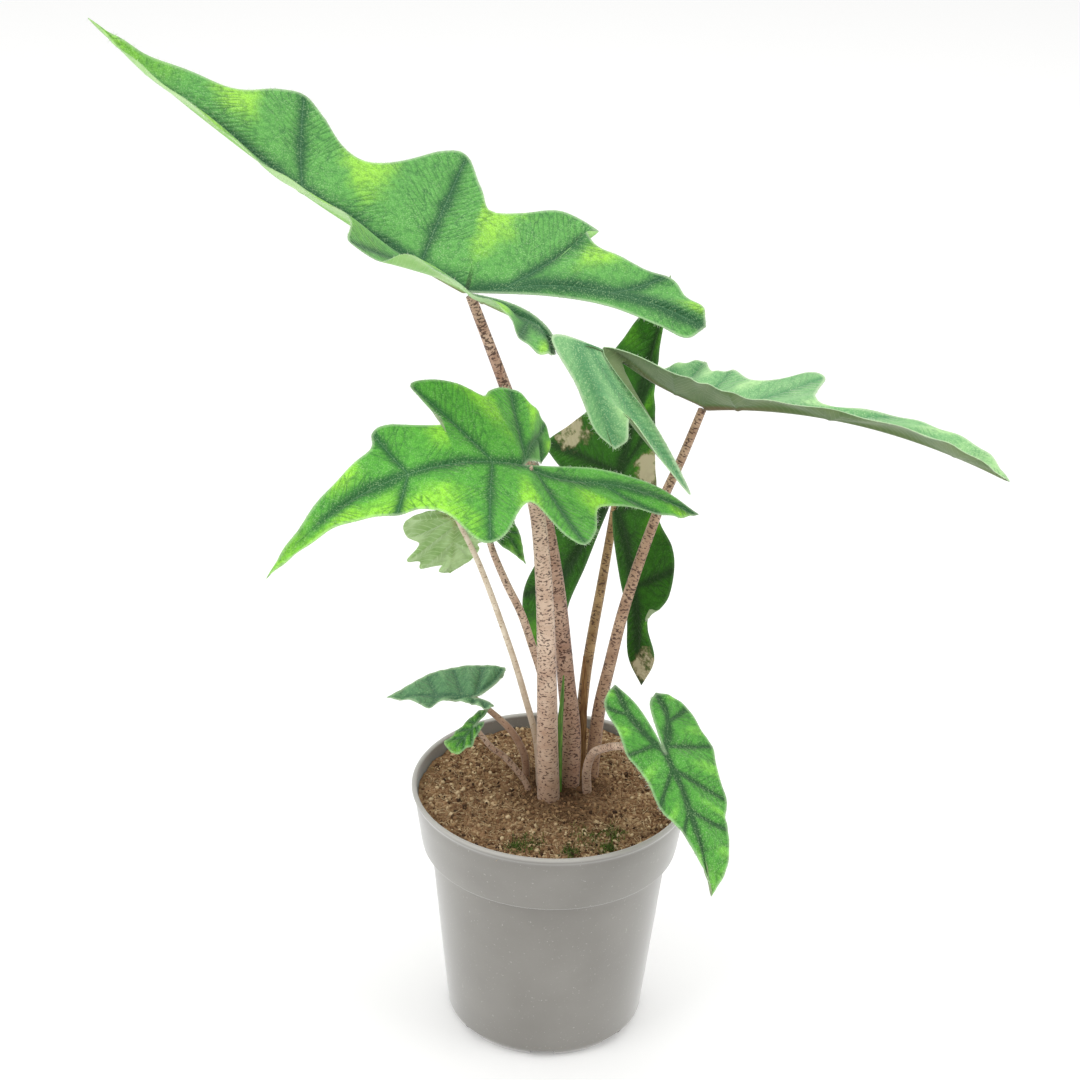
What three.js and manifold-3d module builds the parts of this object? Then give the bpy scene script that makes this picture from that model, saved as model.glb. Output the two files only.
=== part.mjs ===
// Potted alocasia with lobed, arrow-shaped leaves, in a grower's plastic pot.
// Millimetres, +Z up. The origin is the middle of the pot's flat underside,
// and -Y is the side that the plant is seen from.
import * as THREE from 'three';
import { mergeVertices } from 'three/addons/utils/BufferGeometryUtils.js';
import Module from 'manifold-3d';

const wasm = await Module();
wasm.setup();

// The pot: a 12 cm grower's pot with a deep stepped collar and notches round its foot.
const RIM_RADIUS = 60;
const RIM_HEIGHT = 114;
const COLLAR_DEPTH = 28;
const COLLAR_FOOT_RADIUS = 55.3;
const COLLAR_CHAMFER = 1;
const BODY_TOP_RADIUS = 51.5;
const BODY_FOOT_RADIUS = 43.4;
const FOOT_ROUNDING = 5;
const LIP_RADIUS = 1.1;
const LIP_GROOVE = { below: 2.6, depth: 0.6 };
const WALL = 1.4;
const FLOOR = 2;
const INNER_FOOT_ROUNDING = 4;
const NOTCHES = 8;
const NOTCH = { width: 11, height: 3.5, depth: 7 };
const POT_SEGMENTS = 48;

// The soil, with the corm buried in it.
const SOIL_LEVEL = 110;
const SOIL_RADIUS = 57;
const SOIL_MOUND = { height: 1.6, spread: 17 };
const SOIL_DIP = 2.5;
const SOIL_CLOD = 0.7;
const SOIL_SEGMENTS = 36;
const CORM = { x: 3, y: 1, radius: 19, top: 95, bottom: 68, segments: 20 };

// Pieces that touch keep this much air between them.
const CLEARANCE = 0.3;
const BLADE_THICKNESS = 0.7;
const MARGIN_THICKNESS = 0.6;
const PETIOLE_SIDES = 8;
const STEPS_PER_ROW = 2;
const SHEATH_FLATNESS = 0.4;

const RADIANS = Math.PI / 180;

const POT_LOOK = { color: 0x9a978f, roughness: 0.42, metalness: 0 };
const SOIL_LOOK = { color: 0x6b4a30, roughness: 0.95, metalness: 0 };
const CORM_LOOK = { color: 0x5a4030, roughness: 0.9, metalness: 0 };
const LEAF_LOOK = { color: 0x3f9a3c, roughness: 0.6, metalness: 0 };
const PETIOLE_LOOK = { color: 0xb08a72, roughness: 0.6, metalness: 0 };
const SHEATH_LOOK = { color: 0x8a6a45, roughness: 0.8, metalness: 0 };

const plant = new THREE.Group();
function addPiece(name, geometry, look) {
  const piece = new THREE.Mesh(geometry, new THREE.MeshStandardMaterial(look));
  piece.geometry.computeVertexNormals();
  piece.name = name;
  plant.add(piece);
}

// Turns a closed geometry into a solid for cutting, and back.
function toSolid(geometry) {
  const bare = geometry.clone();
  bare.deleteAttribute('normal');
  bare.deleteAttribute('uv');
  const merged = mergeVertices(bare, 1e-4);
  return new wasm.Manifold(new wasm.Mesh({
    numProp: 3,
    vertProperties: new Float32Array(merged.attributes.position.array),
    triVerts: new Uint32Array(merged.index.array),
  }));
}

function toGeometry(solid) {
  const mesh = solid.getMesh();
  const geometry = new THREE.BufferGeometry();
  geometry.setAttribute('position', new THREE.BufferAttribute(new Float32Array(mesh.vertProperties), 3));
  geometry.setIndex(new THREE.BufferAttribute(new Uint32Array(mesh.triVerts), 1));
  return geometry;
}

function meshGeometry(points, triangles) {
  const geometry = new THREE.BufferGeometry();
  const numbers = points.flatMap((p) => [p.x, p.y, p.z]);
  geometry.setAttribute('position', new THREE.Float32BufferAttribute(numbers, 3));
  geometry.setIndex(triangles.flat());
  return geometry;
}

// Pot wall radius outside, at a height: a straight taper, the step, and the collar's taper.
const STEP_HEIGHT = RIM_HEIGHT - COLLAR_DEPTH;
function bodyRadius(z) {
  return THREE.MathUtils.mapLinear(z, FOOT_ROUNDING, STEP_HEIGHT, BODY_FOOT_RADIUS, BODY_TOP_RADIUS);
}
function collarRadius(z) {
  return THREE.MathUtils.mapLinear(z, STEP_HEIGHT, RIM_HEIGHT, COLLAR_FOOT_RADIUS, RIM_RADIUS);
}
function innerRadius(z) {
  return (z < STEP_HEIGHT + WALL ? bodyRadius(z) : collarRadius(z)) - WALL;
}

// Profile points on an arc about a centre, from one angle to another in degrees.
function arcPoints(x, y, radius, from, to, steps) {
  return Array.from({ length: steps + 1 }, (_, i) => {
    const angle = (from + ((to - from) * i) / steps) * RADIANS;
    return new THREE.Vector2(x + radius * Math.cos(angle), y + radius * Math.sin(angle));
  });
}

// A body of revolution about Z from points of radius and height.
function turned(profile, segments) {
  const lathe = new THREE.LatheGeometry(profile, segments);
  lathe.rotateX(Math.PI / 2);
  return lathe;
}

function pot() {
  const lip = RIM_HEIGHT - LIP_RADIUS;
  const groove = lip - LIP_GROOVE.below;
  const collarSeat = STEP_HEIGHT + 2 * WALL;
  const innerFoot = FLOOR + INNER_FOOT_ROUNDING;
  const profile = [
    new THREE.Vector2(0, 0),
    ...arcPoints(BODY_FOOT_RADIUS - FOOT_ROUNDING, FOOT_ROUNDING, FOOT_ROUNDING, -90, 0, 3),
    new THREE.Vector2(bodyRadius(STEP_HEIGHT), STEP_HEIGHT),
    new THREE.Vector2(COLLAR_FOOT_RADIUS - COLLAR_CHAMFER, STEP_HEIGHT),
    new THREE.Vector2(COLLAR_FOOT_RADIUS, STEP_HEIGHT + COLLAR_CHAMFER),
    new THREE.Vector2(collarRadius(groove) - LIP_GROOVE.depth, groove),
    ...arcPoints(RIM_RADIUS - LIP_RADIUS, lip, LIP_RADIUS, 0, 180, 3),
    new THREE.Vector2(innerRadius(groove), groove),
    new THREE.Vector2(innerRadius(collarSeat), collarSeat),
    new THREE.Vector2(innerRadius(STEP_HEIGHT), STEP_HEIGHT),
    new THREE.Vector2(innerRadius(innerFoot), innerFoot),
    new THREE.Vector2(innerRadius(innerFoot) - INNER_FOOT_ROUNDING, FLOOR),
    new THREE.Vector2(0, FLOOR),
  ];
  let solid = toSolid(turned(profile, POT_SEGMENTS));
  for (let i = 0; i < NOTCHES; i += 1) {
    const notch = new THREE.BoxGeometry(NOTCH.width, 2 * NOTCH.depth, 2 * NOTCH.height);
    notch.translate(0, -BODY_FOOT_RADIUS, 0);
    notch.rotateZ((i * 2 * Math.PI) / NOTCHES);
    solid = solid.subtract(toSolid(notch));
  }
  return toGeometry(solid);
}

// Soil surface: a low mound at the petioles, a dip at the back left, and small clods.
function soilHeight(x, y) {
  const away = ((x - CORM.x) ** 2 + (y - CORM.y) ** 2) / (2 * SOIL_MOUND.spread ** 2);
  const dip = SOIL_DIP * THREE.MathUtils.smoothstep(0.8 * y - 0.6 * x, 10, 60);
  const clods = SOIL_CLOD * Math.sin(0.31 * x + 1.3 * Math.sin(0.17 * y)) * Math.sin(0.27 * y + 0.8);
  return SOIL_LEVEL + SOIL_MOUND.height * Math.exp(-away) - dip + clods;
}

// The soil fills the pot up to its surface, a slip of air inside the wall.
function soilBlock() {
  const foot = FLOOR + INNER_FOOT_ROUNDING;
  const shoulder = STEP_HEIGHT + 2 * WALL;
  const rings = [SOIL_RADIUS, 49, 40, 30, 20, 10, 0];
  const profile = [
    new THREE.Vector2(0, FLOOR + CLEARANCE),
    new THREE.Vector2(innerRadius(foot) - INNER_FOOT_ROUNDING - CLEARANCE, FLOOR + CLEARANCE),
    new THREE.Vector2(innerRadius(foot) - 2 * CLEARANCE, foot + CLEARANCE),
    new THREE.Vector2(innerRadius(STEP_HEIGHT) - 2 * CLEARANCE, shoulder),
    new THREE.Vector2(innerRadius(shoulder + WALL) - 2 * CLEARANCE, shoulder + WALL),
    ...rings.map((r) => new THREE.Vector2(r, SOIL_LEVEL)),
  ];
  const lathe = turned(profile, SOIL_SEGMENTS);
  const p = lathe.attributes.position;
  for (let i = 0; i < p.count; i += 1) {
    if (p.getZ(i) > SOIL_LEVEL - 1) p.setZ(i, soilHeight(p.getX(i), p.getY(i)));
  }
  return toSolid(lathe);
}

// The corm: an upright barrel that the petioles stand on.
function corm(grow) {
  const { x, y, radius, top, bottom, segments } = CORM;
  const height = top - bottom;
  const profile = [
    new THREE.Vector2(0, bottom - grow),
    new THREE.Vector2(0.6 * radius + grow, bottom + 0.07 * height - grow),
    new THREE.Vector2(0.98 * radius + grow, bottom + 0.4 * height),
    new THREE.Vector2(radius + grow, bottom + 0.7 * height),
    new THREE.Vector2(0.98 * radius + grow, top - 1 + grow),
    new THREE.Vector2(0.94 * radius + grow, top + grow),
    new THREE.Vector2(0, top + grow),
  ];
  const lathe = turned(profile, segments);
  lathe.translate(x, y, 0);
  return lathe;
}

// A smooth curve through rows of two or three numbers, as a function of the place in rows.
function rowCurve(rows) {
  const points = rows.map(([x, y, z = 0]) => new THREE.Vector3(x, y, z));
  const curve = new THREE.CatmullRomCurve3(points, false, 'catmullrom');
  return (place) => curve.getPoint(place / (rows.length - 1)).toArray();
}

// A petiole or sheath: a tapering tube through rows of x, y, z and radius. flatness is its
// depth over its width, and a flat one keeps its width along X.
function taperedTube(rows, grow, flatness = 1) {
  const centres = rows.map(([x, y, z]) => new THREE.Vector3(x, y, z));
  const curve = new THREE.CatmullRomCurve3(centres, false, 'catmullrom');
  const radiusAt = rowCurve(rows.map((row) => [row[3], 0]));
  const steps = STEPS_PER_ROW * (rows.length - 1);
  const points = [];
  const triangles = [];
  for (let i = 0; i <= steps; i += 1) {
    const centre = curve.getPoint(i / steps);
    const tangent = curve.getTangent(i / steps);
    const wide = new THREE.Vector3(1, 0, 0).projectOnPlane(tangent).normalize();
    const deep = new THREE.Vector3().crossVectors(tangent, wide);
    const [radius] = radiusAt(i / STEPS_PER_ROW);
    for (let j = 0; j < PETIOLE_SIDES; j += 1) {
      const angle = (j * 2 * Math.PI) / PETIOLE_SIDES;
      const point = centre.clone();
      point.addScaledVector(wide, (radius + grow) * Math.cos(angle));
      point.addScaledVector(deep, (radius * flatness + grow) * Math.sin(angle));
      points.push(point);
    }
  }
  const foot = points.push(curve.getPoint(0)) - 1;
  const head = points.push(curve.getPoint(1)) - 1;
  const lastRing = steps * PETIOLE_SIDES;
  for (let j = 0; j < PETIOLE_SIDES; j += 1) {
    const next = (j + 1) % PETIOLE_SIDES;
    for (let ring = 0; ring < lastRing; ring += PETIOLE_SIDES) {
      const above = ring + PETIOLE_SIDES;
      triangles.push([ring + j, ring + next, above + next], [ring + j, above + next, above + j]);
    }
    triangles.push([foot, next, j], [head, lastRing + j, lastRing + next]);
  }
  return meshGeometry(points, triangles);
}

// Half a blade, in fractions of the length from petiole to tip. A row is the place along
// the midrib (1 at the tip, 0 at the petiole, below 0 on the basal lobe), the distance out
// from it, and a lift where the half isn't flat. The twelve margin rows run from the tip
// to the end of the basal lobe, by way of each lobe and bay. Each is fed by the vein that
// leaves the bone of its half at VEIN_ROOTS: the midrib down to 0, and below it the costa
// of the basal lobe. Costa and inner edge lead from the petiole to that lobe's end. Where
// lobes are round or hooked, rows gives the numbers of the margin rows, with more between.
const VEIN_ROOTS = [1, 0.82, 0.62, 0.42, 0.27, 0.12, 0, -0.12, -0.35, -0.55, -0.8, -1];
const END_ROW = 11;
const PETIOLE_ROW = 6;

// The margin of a half blade, as a function of the row number.
function marginCurve({ margin, rows = margin.map((_, n) => n) }) {
  const curve = rowCurve(margin);
  return (row) => {
    const after = Math.max(1, rows.findIndex((number) => number >= row));
    const share = (row - rows[after - 1]) / (rows[after] - rows[after - 1]);
    return curve(after - 1 + share);
  };
}

// How finely a blade is cut: steps from row to row, and places from the bone out to the
// margin and in to the inner edge.
const LARGE = { steps: 3, outward: [0, 0.15, 0.55, 1], inward: [0, 1] };
const SMALL = { steps: 2, outward: [0, 0.4, 1], inward: [0, 1] };

// End of an arc of a given length that starts at an angle and turns down evenly.
function arcEnd(length, start, turn) {
  if (Math.abs(turn) < 1e-6) return [length * Math.cos(start), length * Math.sin(start)];
  const end = start - turn * length;
  return [(Math.sin(start) - Math.sin(end)) / turn, (Math.cos(end) - Math.cos(start)) / turn];
}

// Carries a point of the flat blade to its place: the midrib arches from the petiole to the
// tip and back over the basal lobes, and each half stands at its own fold and curls down.
// side is 1 for the left half and -1 for the right.
function bladePoint(leaf, side, [a, r, lift]) {
  const { length, pitch, at } = leaf;
  const heading = leaf.heading * RADIANS;
  const fold = leaf.fold[side > 0 ? 0 : 1] * RADIANS;
  const turn = ((a < 0 ? leaf.back : leaf.bend) * RADIANS) / length;
  const [run, rise] = arcEnd(Math.abs(a) * length, (a < 0 ? -pitch : pitch) * RADIANS, turn);
  const slope = pitch * RADIANS - turn * a * length;
  const [out, up] = arcEnd(r * length, fold, (leaf.curl * RADIANS) / length);
  const height = up + lift * length;
  const forward = (a < 0 ? -run : run) - height * Math.sin(slope);
  return new THREE.Vector3(
    at[0] + forward * Math.cos(heading) - side * out * Math.sin(heading),
    at[1] + forward * Math.sin(heading) + side * out * Math.cos(heading),
    at[2] + rise + height * Math.cos(slope),
  );
}

// The blade's upper face as points, triangles and the thickness under each point. Both
// halves share the midrib. The ribs stand out below, and the tissue is quilted between veins.
function bladeSheet(leaf) {
  const { steps, outward, inward } = leaf.detail;
  const junction = PETIOLE_ROW * steps;
  const last = END_ROW * steps;
  const rootAt = rowCurve(VEIN_ROOTS.map((root) => [root, 0]));
  const sheet = { points: [], thickness: [], triangles: [] };
  const add = (side, row, thickness) => {
    sheet.thickness.push(thickness);
    return sheet.points.push(bladePoint(leaf, side, row)) - 1;
  };
  const between = (bone, edge, c, quilt) => {
    const [a, r, lift] = bone.map((value, n) => value + (edge[n] - value) * c);
    return [a, r, lift + quilt];
  };
  const skin = (c) => (c === 1 ? MARGIN_THICKNESS : BLADE_THICKNESS);
  const spine = [];
  for (const side of [1, -1]) {
    const half = leaf.halves[side > 0 ? 0 : 1];
    const end = half.margin.at(-1);
    const marginAt = marginCurve(half);
    const costaAt = rowCurve([[0, 0], ...half.costa, end]);
    const brinkAt = rowCurve([[0, 0], ...half.inner, end]);
    const costaRows = half.costa.length + 1;
    const brinkRows = half.inner.length + 1;
    const outer = [];
    const inner = [];
    for (let i = 0; i <= last; i += 1) {
      const [root] = rootAt(i / steps);
      const pointed = i === 0 || i === last;
      const ribbed = pointed ? MARGIN_THICKNESS : BLADE_THICKNESS + leaf.rib * (1 - 0.8 * Math.abs(root));
      const bone = i > junction ? costaAt(-root * costaRows) : [root, 0, 0];
      if (i <= junction && side > 0) spine.push(add(side, bone, ribbed));
      const boneId = i > junction ? add(side, bone, ribbed) : spine[i];
      const margin = marginAt(i / steps);
      outer.push(outward.map((c) => {
        if (c === 0 || pointed) return boneId;
        const quilt = leaf.quilt * Math.cos((Math.PI * i) / steps) * Math.sin(Math.PI * c);
        return add(side, between(bone, margin, c, quilt), skin(c));
      }));
      if (i < junction) continue;
      const brink = brinkAt(-root * brinkRows);
      inner.push(inward.map((c) => {
        if (c === 0 || i === junction || pointed) return boneId;
        return add(side, between(bone, brink, c, 0), skin(c));
      }));
    }
    fillGrid(sheet.triangles, outer, side < 0);
    fillGrid(sheet.triangles, inner, side > 0);
  }
  return sheet;
}

// Two triangles for each cell of a grid of point numbers, less those that shrink to a line.
function fillGrid(triangles, grid, forward) {
  for (let i = 0; i < grid.length - 1; i += 1) {
    for (let j = 0; j < grid[i].length - 1; j += 1) {
      const [a, b, c, d] = [grid[i][j], grid[i + 1][j], grid[i + 1][j + 1], grid[i][j + 1]];
      for (const triangle of [[a, b, c], [a, c, d]]) {
        if (new Set(triangle).size === 3) triangles.push(forward ? triangle : triangle.reverse());
      }
    }
  }
}

// A thin solid: the sheet, a copy let down under it, and a wall round the edge.
function thicken({ points, triangles, thickness }, grow = 0) {
  const face = meshGeometry(points, triangles);
  face.computeVertexNormals();
  const normal = (i) => new THREE.Vector3().fromBufferAttribute(face.attributes.normal, i);
  const upper = points.map((p, i) => p.clone().addScaledVector(normal(i), grow));
  const lower = points.map((p, i) => p.clone().addScaledVector(normal(i), -thickness[i] - grow));
  const n = points.length;
  const edges = new Map();
  for (const [a, b, c] of triangles) {
    for (const [from, to] of [[a, b], [b, c], [c, a]]) {
      if (!edges.delete(`${to},${from}`)) edges.set(`${from},${to}`, [from, to]);
    }
  }
  const walls = [...edges.values()].flatMap(([from, to]) => [[to, from, from + n], [to, from + n, to + n]]);
  const under = triangles.map(([a, b, c]) => [a + n, c + n, b + n]);
  return meshGeometry([...upper, ...lower], [...triangles, ...under, ...walls]);
}

// One half of the small blade that shows only its tip: a plain arrow half with no lobes.
const PLAIN_HALF = {
  margin: [[1, 0], [0.88, 0.05], [0.74, 0.13], [0.58, 0.22], [0.44, 0.25], [0.28, 0.33],
    [0.12, 0.33], [-0.04, 0.37], [-0.16, 0.33], [-0.30, 0.31], [-0.40, 0.25], [-0.45, 0.17]],
  costa: [[-0.14, 0.06], [-0.30, 0.12]],
  inner: [[-0.13, 0.015], [-0.33, 0.06]],
};

// The leaves. at is where the petiole meets the blade, and heading is the way the tip
// points, in degrees from +X towards +Y. pitch is the midrib's slope at the petiole, and
// bend and back say how far it turns down towards the tip and over the basal lobes. fold is
// the slope of the left and right half, and curl how far both turn down outwards. rib is how
// far the midrib stands out below, and quilt the height of the swellings between veins.
// Petiole rows are x, y, z and radius, from the corm up.
const LEAVES = {
  top: {
    detail: LARGE,
    length: 187, heading: 168, pitch: 24, bend: -16, back: -12,
    fold: [27, 30], curl: 12,
    at: [-40, 35, 323], rib: 1.2, quilt: 0.008,
    halves: [
      {
        rows: [0, 1, 2, 3, 4, 4.5, 5, 5.5, 6, 7, 8, 9, 10, 11],
        margin: [[1, 0], [0.84, 0.05], [0.67, 0.07], [0.52, 0.09], [0.36, 0.11], [0.28, 0.18],
          [0.25, 0.26, -0.04], [0.18, 0.23, -0.04], [0.13, 0.18], [-0.01, 0.27], [-0.09, 0.20],
          [-0.16, 0.30, -0.04], [-0.22, 0.30, -0.05], [-0.24, 0.26, -0.04]],
        costa: [[-0.10, 0.09], [-0.18, 0.19]],
        inner: [[-0.08, 0.04, 0.02], [-0.15, 0.13, 0.02], [-0.21, 0.22]],
      },
      {
        rows: [0, 1, 2, 2.7, 3, 3.3, 4, 4.7, 5, 5.3, 6, 6.3, 6.7, 7, 7.3, 8, 9, 9.5, 10, 11],
        margin: [[1, 0], [0.86, 0.03], [0.67, 0.12], [0.60, 0.19], [0.55, 0.21], [0.48, 0.19],
          [0.35, 0.16], [0.23, 0.30], [0.17, 0.33], [0.11, 0.28], [0.06, 0.23], [-0.01, 0.27],
          [-0.09, 0.33], [-0.18, 0.33], [-0.16, 0.30], [-0.22, 0.28], [-0.37, 0.29],
          [-0.43, 0.26], [-0.48, 0.24], [-0.50, 0.20]],
        costa: [[-0.13, 0.11], [-0.25, 0.17], [-0.37, 0.20]],
        inner: [[-0.15, 0.09], [-0.28, 0.14], [-0.40, 0.15], [-0.47, 0.15]],
      },
    ],
    petiole: [[8, 1, 95.3, 3.6], [8, 2, 112, 4.2], [8, 6, 135, 4.1], [5, 13, 157, 3.8], [0, 20, 197, 3.2],
      [-7, 27, 231, 3], [-14.5, 31, 256, 2.8], [-24, 34, 282, 2.5], [-39, 35, 320.7, 2.1]],
  },
  left: {
    detail: LARGE,
    length: 120, heading: 206, pitch: 20, bend: 71, back: -8,
    fold: [-17, 30], curl: 12,
    at: [-14.6, -12, 268.5], rib: 1.5, quilt: 0.008,
    halves: [
      {
        rows: [0, 1, 2, 3, 4, 4.7, 5, 5.3, 6, 6.7, 7, 7.3, 8, 9, 10, 11],
        margin: [[1, 0], [0.86, 0.03], [0.69, 0.07], [0.53, 0.14], [0.40, 0.19], [0.33, 0.33],
          [0.28, 0.37], [0.20, 0.34], [0.05, 0.20], [-0.05, 0.34], [-0.11, 0.36], [-0.18, 0.28],
          [-0.25, 0.15], [-0.46, 0.18, 0.02], [-0.56, 0.18, 0.02], [-0.62, 0.16, 0.02]],
        costa: [[-0.12, 0.04], [-0.38, 0.06, 0.02]],
        inner: [[-0.10, -0.02], [-0.30, -0.02, 0.02], [-0.50, 0.03, 0.02]],
      },
      {
        rows: [0, 1, 2, 2.7, 3, 3.3, 4, 4.3, 5, 5.3, 5.7, 6, 6.3, 7, 8, 9, 10, 11],
        margin: [[1, 0], [0.82, 0.03], [0.61, 0.10], [0.49, 0.14], [0.46, 0.19], [0.40, 0.20],
          [0.25, 0.16], [0.26, 0.23], [0.29, 0.34], [0.23, 0.36], [0.15, 0.33], [0.08, 0.29],
          [0.05, 0.32], [-0.03, 0.35], [-0.12, 0.31, -0.02], [-0.21, 0.35, -0.10],
          [-0.26, 0.35, -0.18], [-0.22, 0.30, -0.21]],
        costa: [[-0.05, 0.10, -0.02], [-0.14, 0.23, -0.08]],
        inner: [[-0.04, 0.05, -0.02], [-0.13, 0.16, -0.10]],
      },
    ],
    petiole: [[-1, -9, 95.3, 4.4], [-1, -9, 113, 4.8], [-2, -9, 135, 4.6], [-3, -9, 165, 4.2],
      [-5, -10, 206, 3.6],
      [-8.5, -11, 243, 3.1], [-14.1, -12, 266, 2.8]],
  },
  right: {
    detail: LARGE,
    length: 130, heading: 333, pitch: 15, bend: 32, back: -20,
    fold: [8, 45], curl: 10,
    at: [56, 12, 286], rib: 1.4, quilt: 0.008,
    halves: [
      {
        rows: [0, 1, 2, 3, 4, 4.3, 4.7, 5, 5.3, 6, 7, 8, 9, 10, 11],
        margin: [[1, 0], [0.90, 0.08], [0.76, 0.10], [0.60, 0.10], [0.40, 0.06], [0.34, 0.09],
          [0.32, 0.16], [0.31, 0.24], [0.24, 0.26], [0.12, 0.17], [0.01, 0.22, 0.02],
          [-0.06, 0.22, 0.02], [-0.13, 0.30, 0.02], [-0.20, 0.29, 0.02], [-0.26, 0.24, 0.01]],
        costa: [[-0.08, 0.10, 0.01], [-0.16, 0.18, 0.01]],
        inner: [[-0.09, 0.08], [-0.17, 0.16]],
      },
      {
        rows: [0, 1, 2, 3, 4, 5, 6, 7, 8, 8.5, 9, 9.5, 10, 10.5, 11],
        margin: [[1, 0], [0.86, 0.06], [0.72, 0.08], [0.48, 0.05], [0.24, 0.06], [0.13, 0.10],
          [0.07, 0.17], [0.02, 0.25], [-0.16, 0.39, 0.02], [-0.02, 0.40, -0.22],
          [0.08, 0.43, -0.46], [0.02, 0.48, -0.37], [-0.04, 0.52, -0.26], [-0.08, 0.49, -0.31],
          [-0.10, 0.55, -0.36]],
        costa: [[-0.08, 0.15, 0.01], [-0.13, 0.31, 0.02], [-0.20, 0.47], [-0.14, 0.53, -0.18]],
        inner: [[-0.09, 0.16, 0.02], [-0.17, 0.35, 0.03], [-0.26, 0.56, -0.01],
          [-0.20, 0.55, -0.16], [-0.18, 0.51, -0.28]],
      },
    ],
    petiole: [[17, 8, 95.3, 2.6], [17.5, 8.5, 112, 2.9], [18, 9, 124, 2.9], [19.5, 8.5, 146, 2.8],
      [23, 8, 167.5, 2.6],
      [29, 7, 200, 2.4], [40, 12, 238, 2.1], [49, 13, 263, 1.9], [55.8, 12, 283.5, 1.7]],
  },
  back: {
    detail: LARGE,
    length: 98, heading: 60, pitch: 62, bend: -4, back: 40,
    fold: [-4, 12], curl: 10,
    at: [22, 43, 229], rib: 1.2, quilt: 0.008,
    halves: [
      {
        rows: [0, 1, 2, 3, 4, 4.5, 5, 5.3, 6, 7, 8, 9, 10, 10.3, 10.7, 11],
        margin: [[1, 0], [0.88, 0.06], [0.72, 0.14], [0.53, 0.23], [0.38, 0.22], [0.28, 0.30],
          [0.17, 0.41], [0.11, 0.36], [-0.04, 0.14], [-0.16, 0.28], [-0.32, 0.30],
          [-0.55, 0.37], [-0.72, 0.32], [-0.80, 0.25], [-0.82, 0.15], [-0.75, 0.08]],
        costa: [[-0.23, 0.10], [-0.51, 0.19]],
        inner: [[-0.12, 0.02], [-0.32, 0.06], [-0.53, 0.12], [-0.66, 0.10]],
      },
      {
        rows: [0, 1, 2, 3, 4, 5, 6, 7, 8, 8.7, 9, 9.3, 9.7, 10, 10.3, 10.7, 11],
        margin: [[1, 0], [0.88, 0.02], [0.74, 0.03], [0.60, 0.05], [0.49, 0.07], [0.38, 0.11],
          [0.25, 0.15], [0.12, 0.20], [-0.02, 0.26], [-0.12, 0.36], [-0.21, 0.40],
          [-0.32, 0.40], [-0.39, 0.36], [-0.40, 0.32], [-0.49, 0.32], [-0.61, 0.37], [-0.75, 0.31]],
        costa: [[-0.18, 0.14], [-0.43, 0.25]],
        inner: [[-0.14, 0.05], [-0.31, 0.13], [-0.46, 0.20], [-0.64, 0.23]],
      },
    ],
    petiole: [[9, 11.5, 95.3, 2.4], [9.5, 12.5, 112, 2.6], [12, 17, 138, 2.4], [13.5, 22, 156, 2.3],
      [16, 29, 174, 2.2],
      [18.5, 34, 190, 2.1], [21.5, 39, 212, 1.9], [23.5, 42, 226, 1.8]],
  },
  torn: {
    detail: SMALL,
    length: 37, heading: 100, pitch: -60, bend: 10, back: 0,
    fold: [-10, 0], curl: 20,
    at: [-42, -8, 243], rib: 0.5, quilt: 0.02,
    halves: [
      {
        margin: [[1, 0], [0.93, 0.14], [0.84, 0.10], [0.80, 0.36], [0.68, 0.38], [0.58, 0.54],
          [0.36, 0.40], [0.15, 0.55], [-0.10, 0.62], [-0.22, 0.54], [-0.24, 0.38], [-0.20, 0.22]],
        costa: [[-0.04, 0.07], [-0.08, 0.14]],
        inner: [[-0.05, 0.04], [-0.10, 0.12]],
      },
      {
        margin: [[1, 0], [0.90, 0.10], [0.78, 0.22], [0.60, 0.30], [0.50, 0.28], [0.40, 0.38],
          [0.28, 0.33], [0.10, 0.40], [0.00, 0.30], [-0.08, 0.28], [-0.12, 0.20], [-0.13, 0.12]],
        costa: [[-0.04, 0.04], [-0.09, 0.08]],
        inner: [[-0.05, 0.01], [-0.10, 0.05]],
      },
    ],
    petiole: [[-5, 1, 95.3, 1.3], [-5, 1.5, 112, 1.5], [-7, 3, 133, 1.4], [-11.8, 2, 153, 1.4],
      [-18.8, -1, 179, 1.3],
      [-31.4, -5, 218, 1.2], [-41.5, -8, 241, 1]],
  },
  behind: {
    detail: SMALL,
    length: 29, heading: 330, pitch: -35, bend: 20, back: 0,
    fold: [8, -4], curl: 20,
    at: [-31, 14, 237], rib: 0.6, quilt: 0.02,
    halves: [PLAIN_HALF, PLAIN_HALF],
    petiole: [[0, 8, 95.3, 1.6], [0, 8, 112, 1.9], [-2, 5, 140, 1.8], [-5, 4, 162, 1.8],
      [-10, 7, 177, 1.7],
      [-15, 9, 191, 1.7], [-22, 11, 205, 1.6], [-28.5, 13, 221, 1.4], [-30.8, 14, 234.5, 1.2]],
  },
  low: {
    detail: SMALL,
    length: 36.5, heading: 182, pitch: 4, bend: 10, back: 0,
    fold: [0, 18], curl: 20,
    at: [-34, -4, 157], rib: 0.6, quilt: 0.02,
    halves: [
      {
        margin: [[1, 0], [0.85, 0.06], [0.70, 0.10], [0.51, 0.25], [0.40, 0.15], [0.27, 0.08],
          [0.15, 0.10], [0.02, 0.14], [-0.05, 0.16], [-0.14, 0.22], [-0.20, 0.20], [-0.24, 0.14]],
        costa: [[-0.07, 0.04], [-0.16, 0.10]],
        inner: [[-0.08, 0.01], [-0.18, 0.07]],
      },
      {
        margin: [[1, 0], [0.84, 0.10], [0.70, 0.22], [0.54, 0.34], [0.39, 0.43], [0.25, 0.48],
          [0.05, 0.55], [-0.10, 0.57], [-0.22, 0.58], [-0.35, 0.56], [-0.36, 0.48], [-0.33, 0.38]],
        costa: [[-0.10, 0.12], [-0.22, 0.26]],
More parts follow.
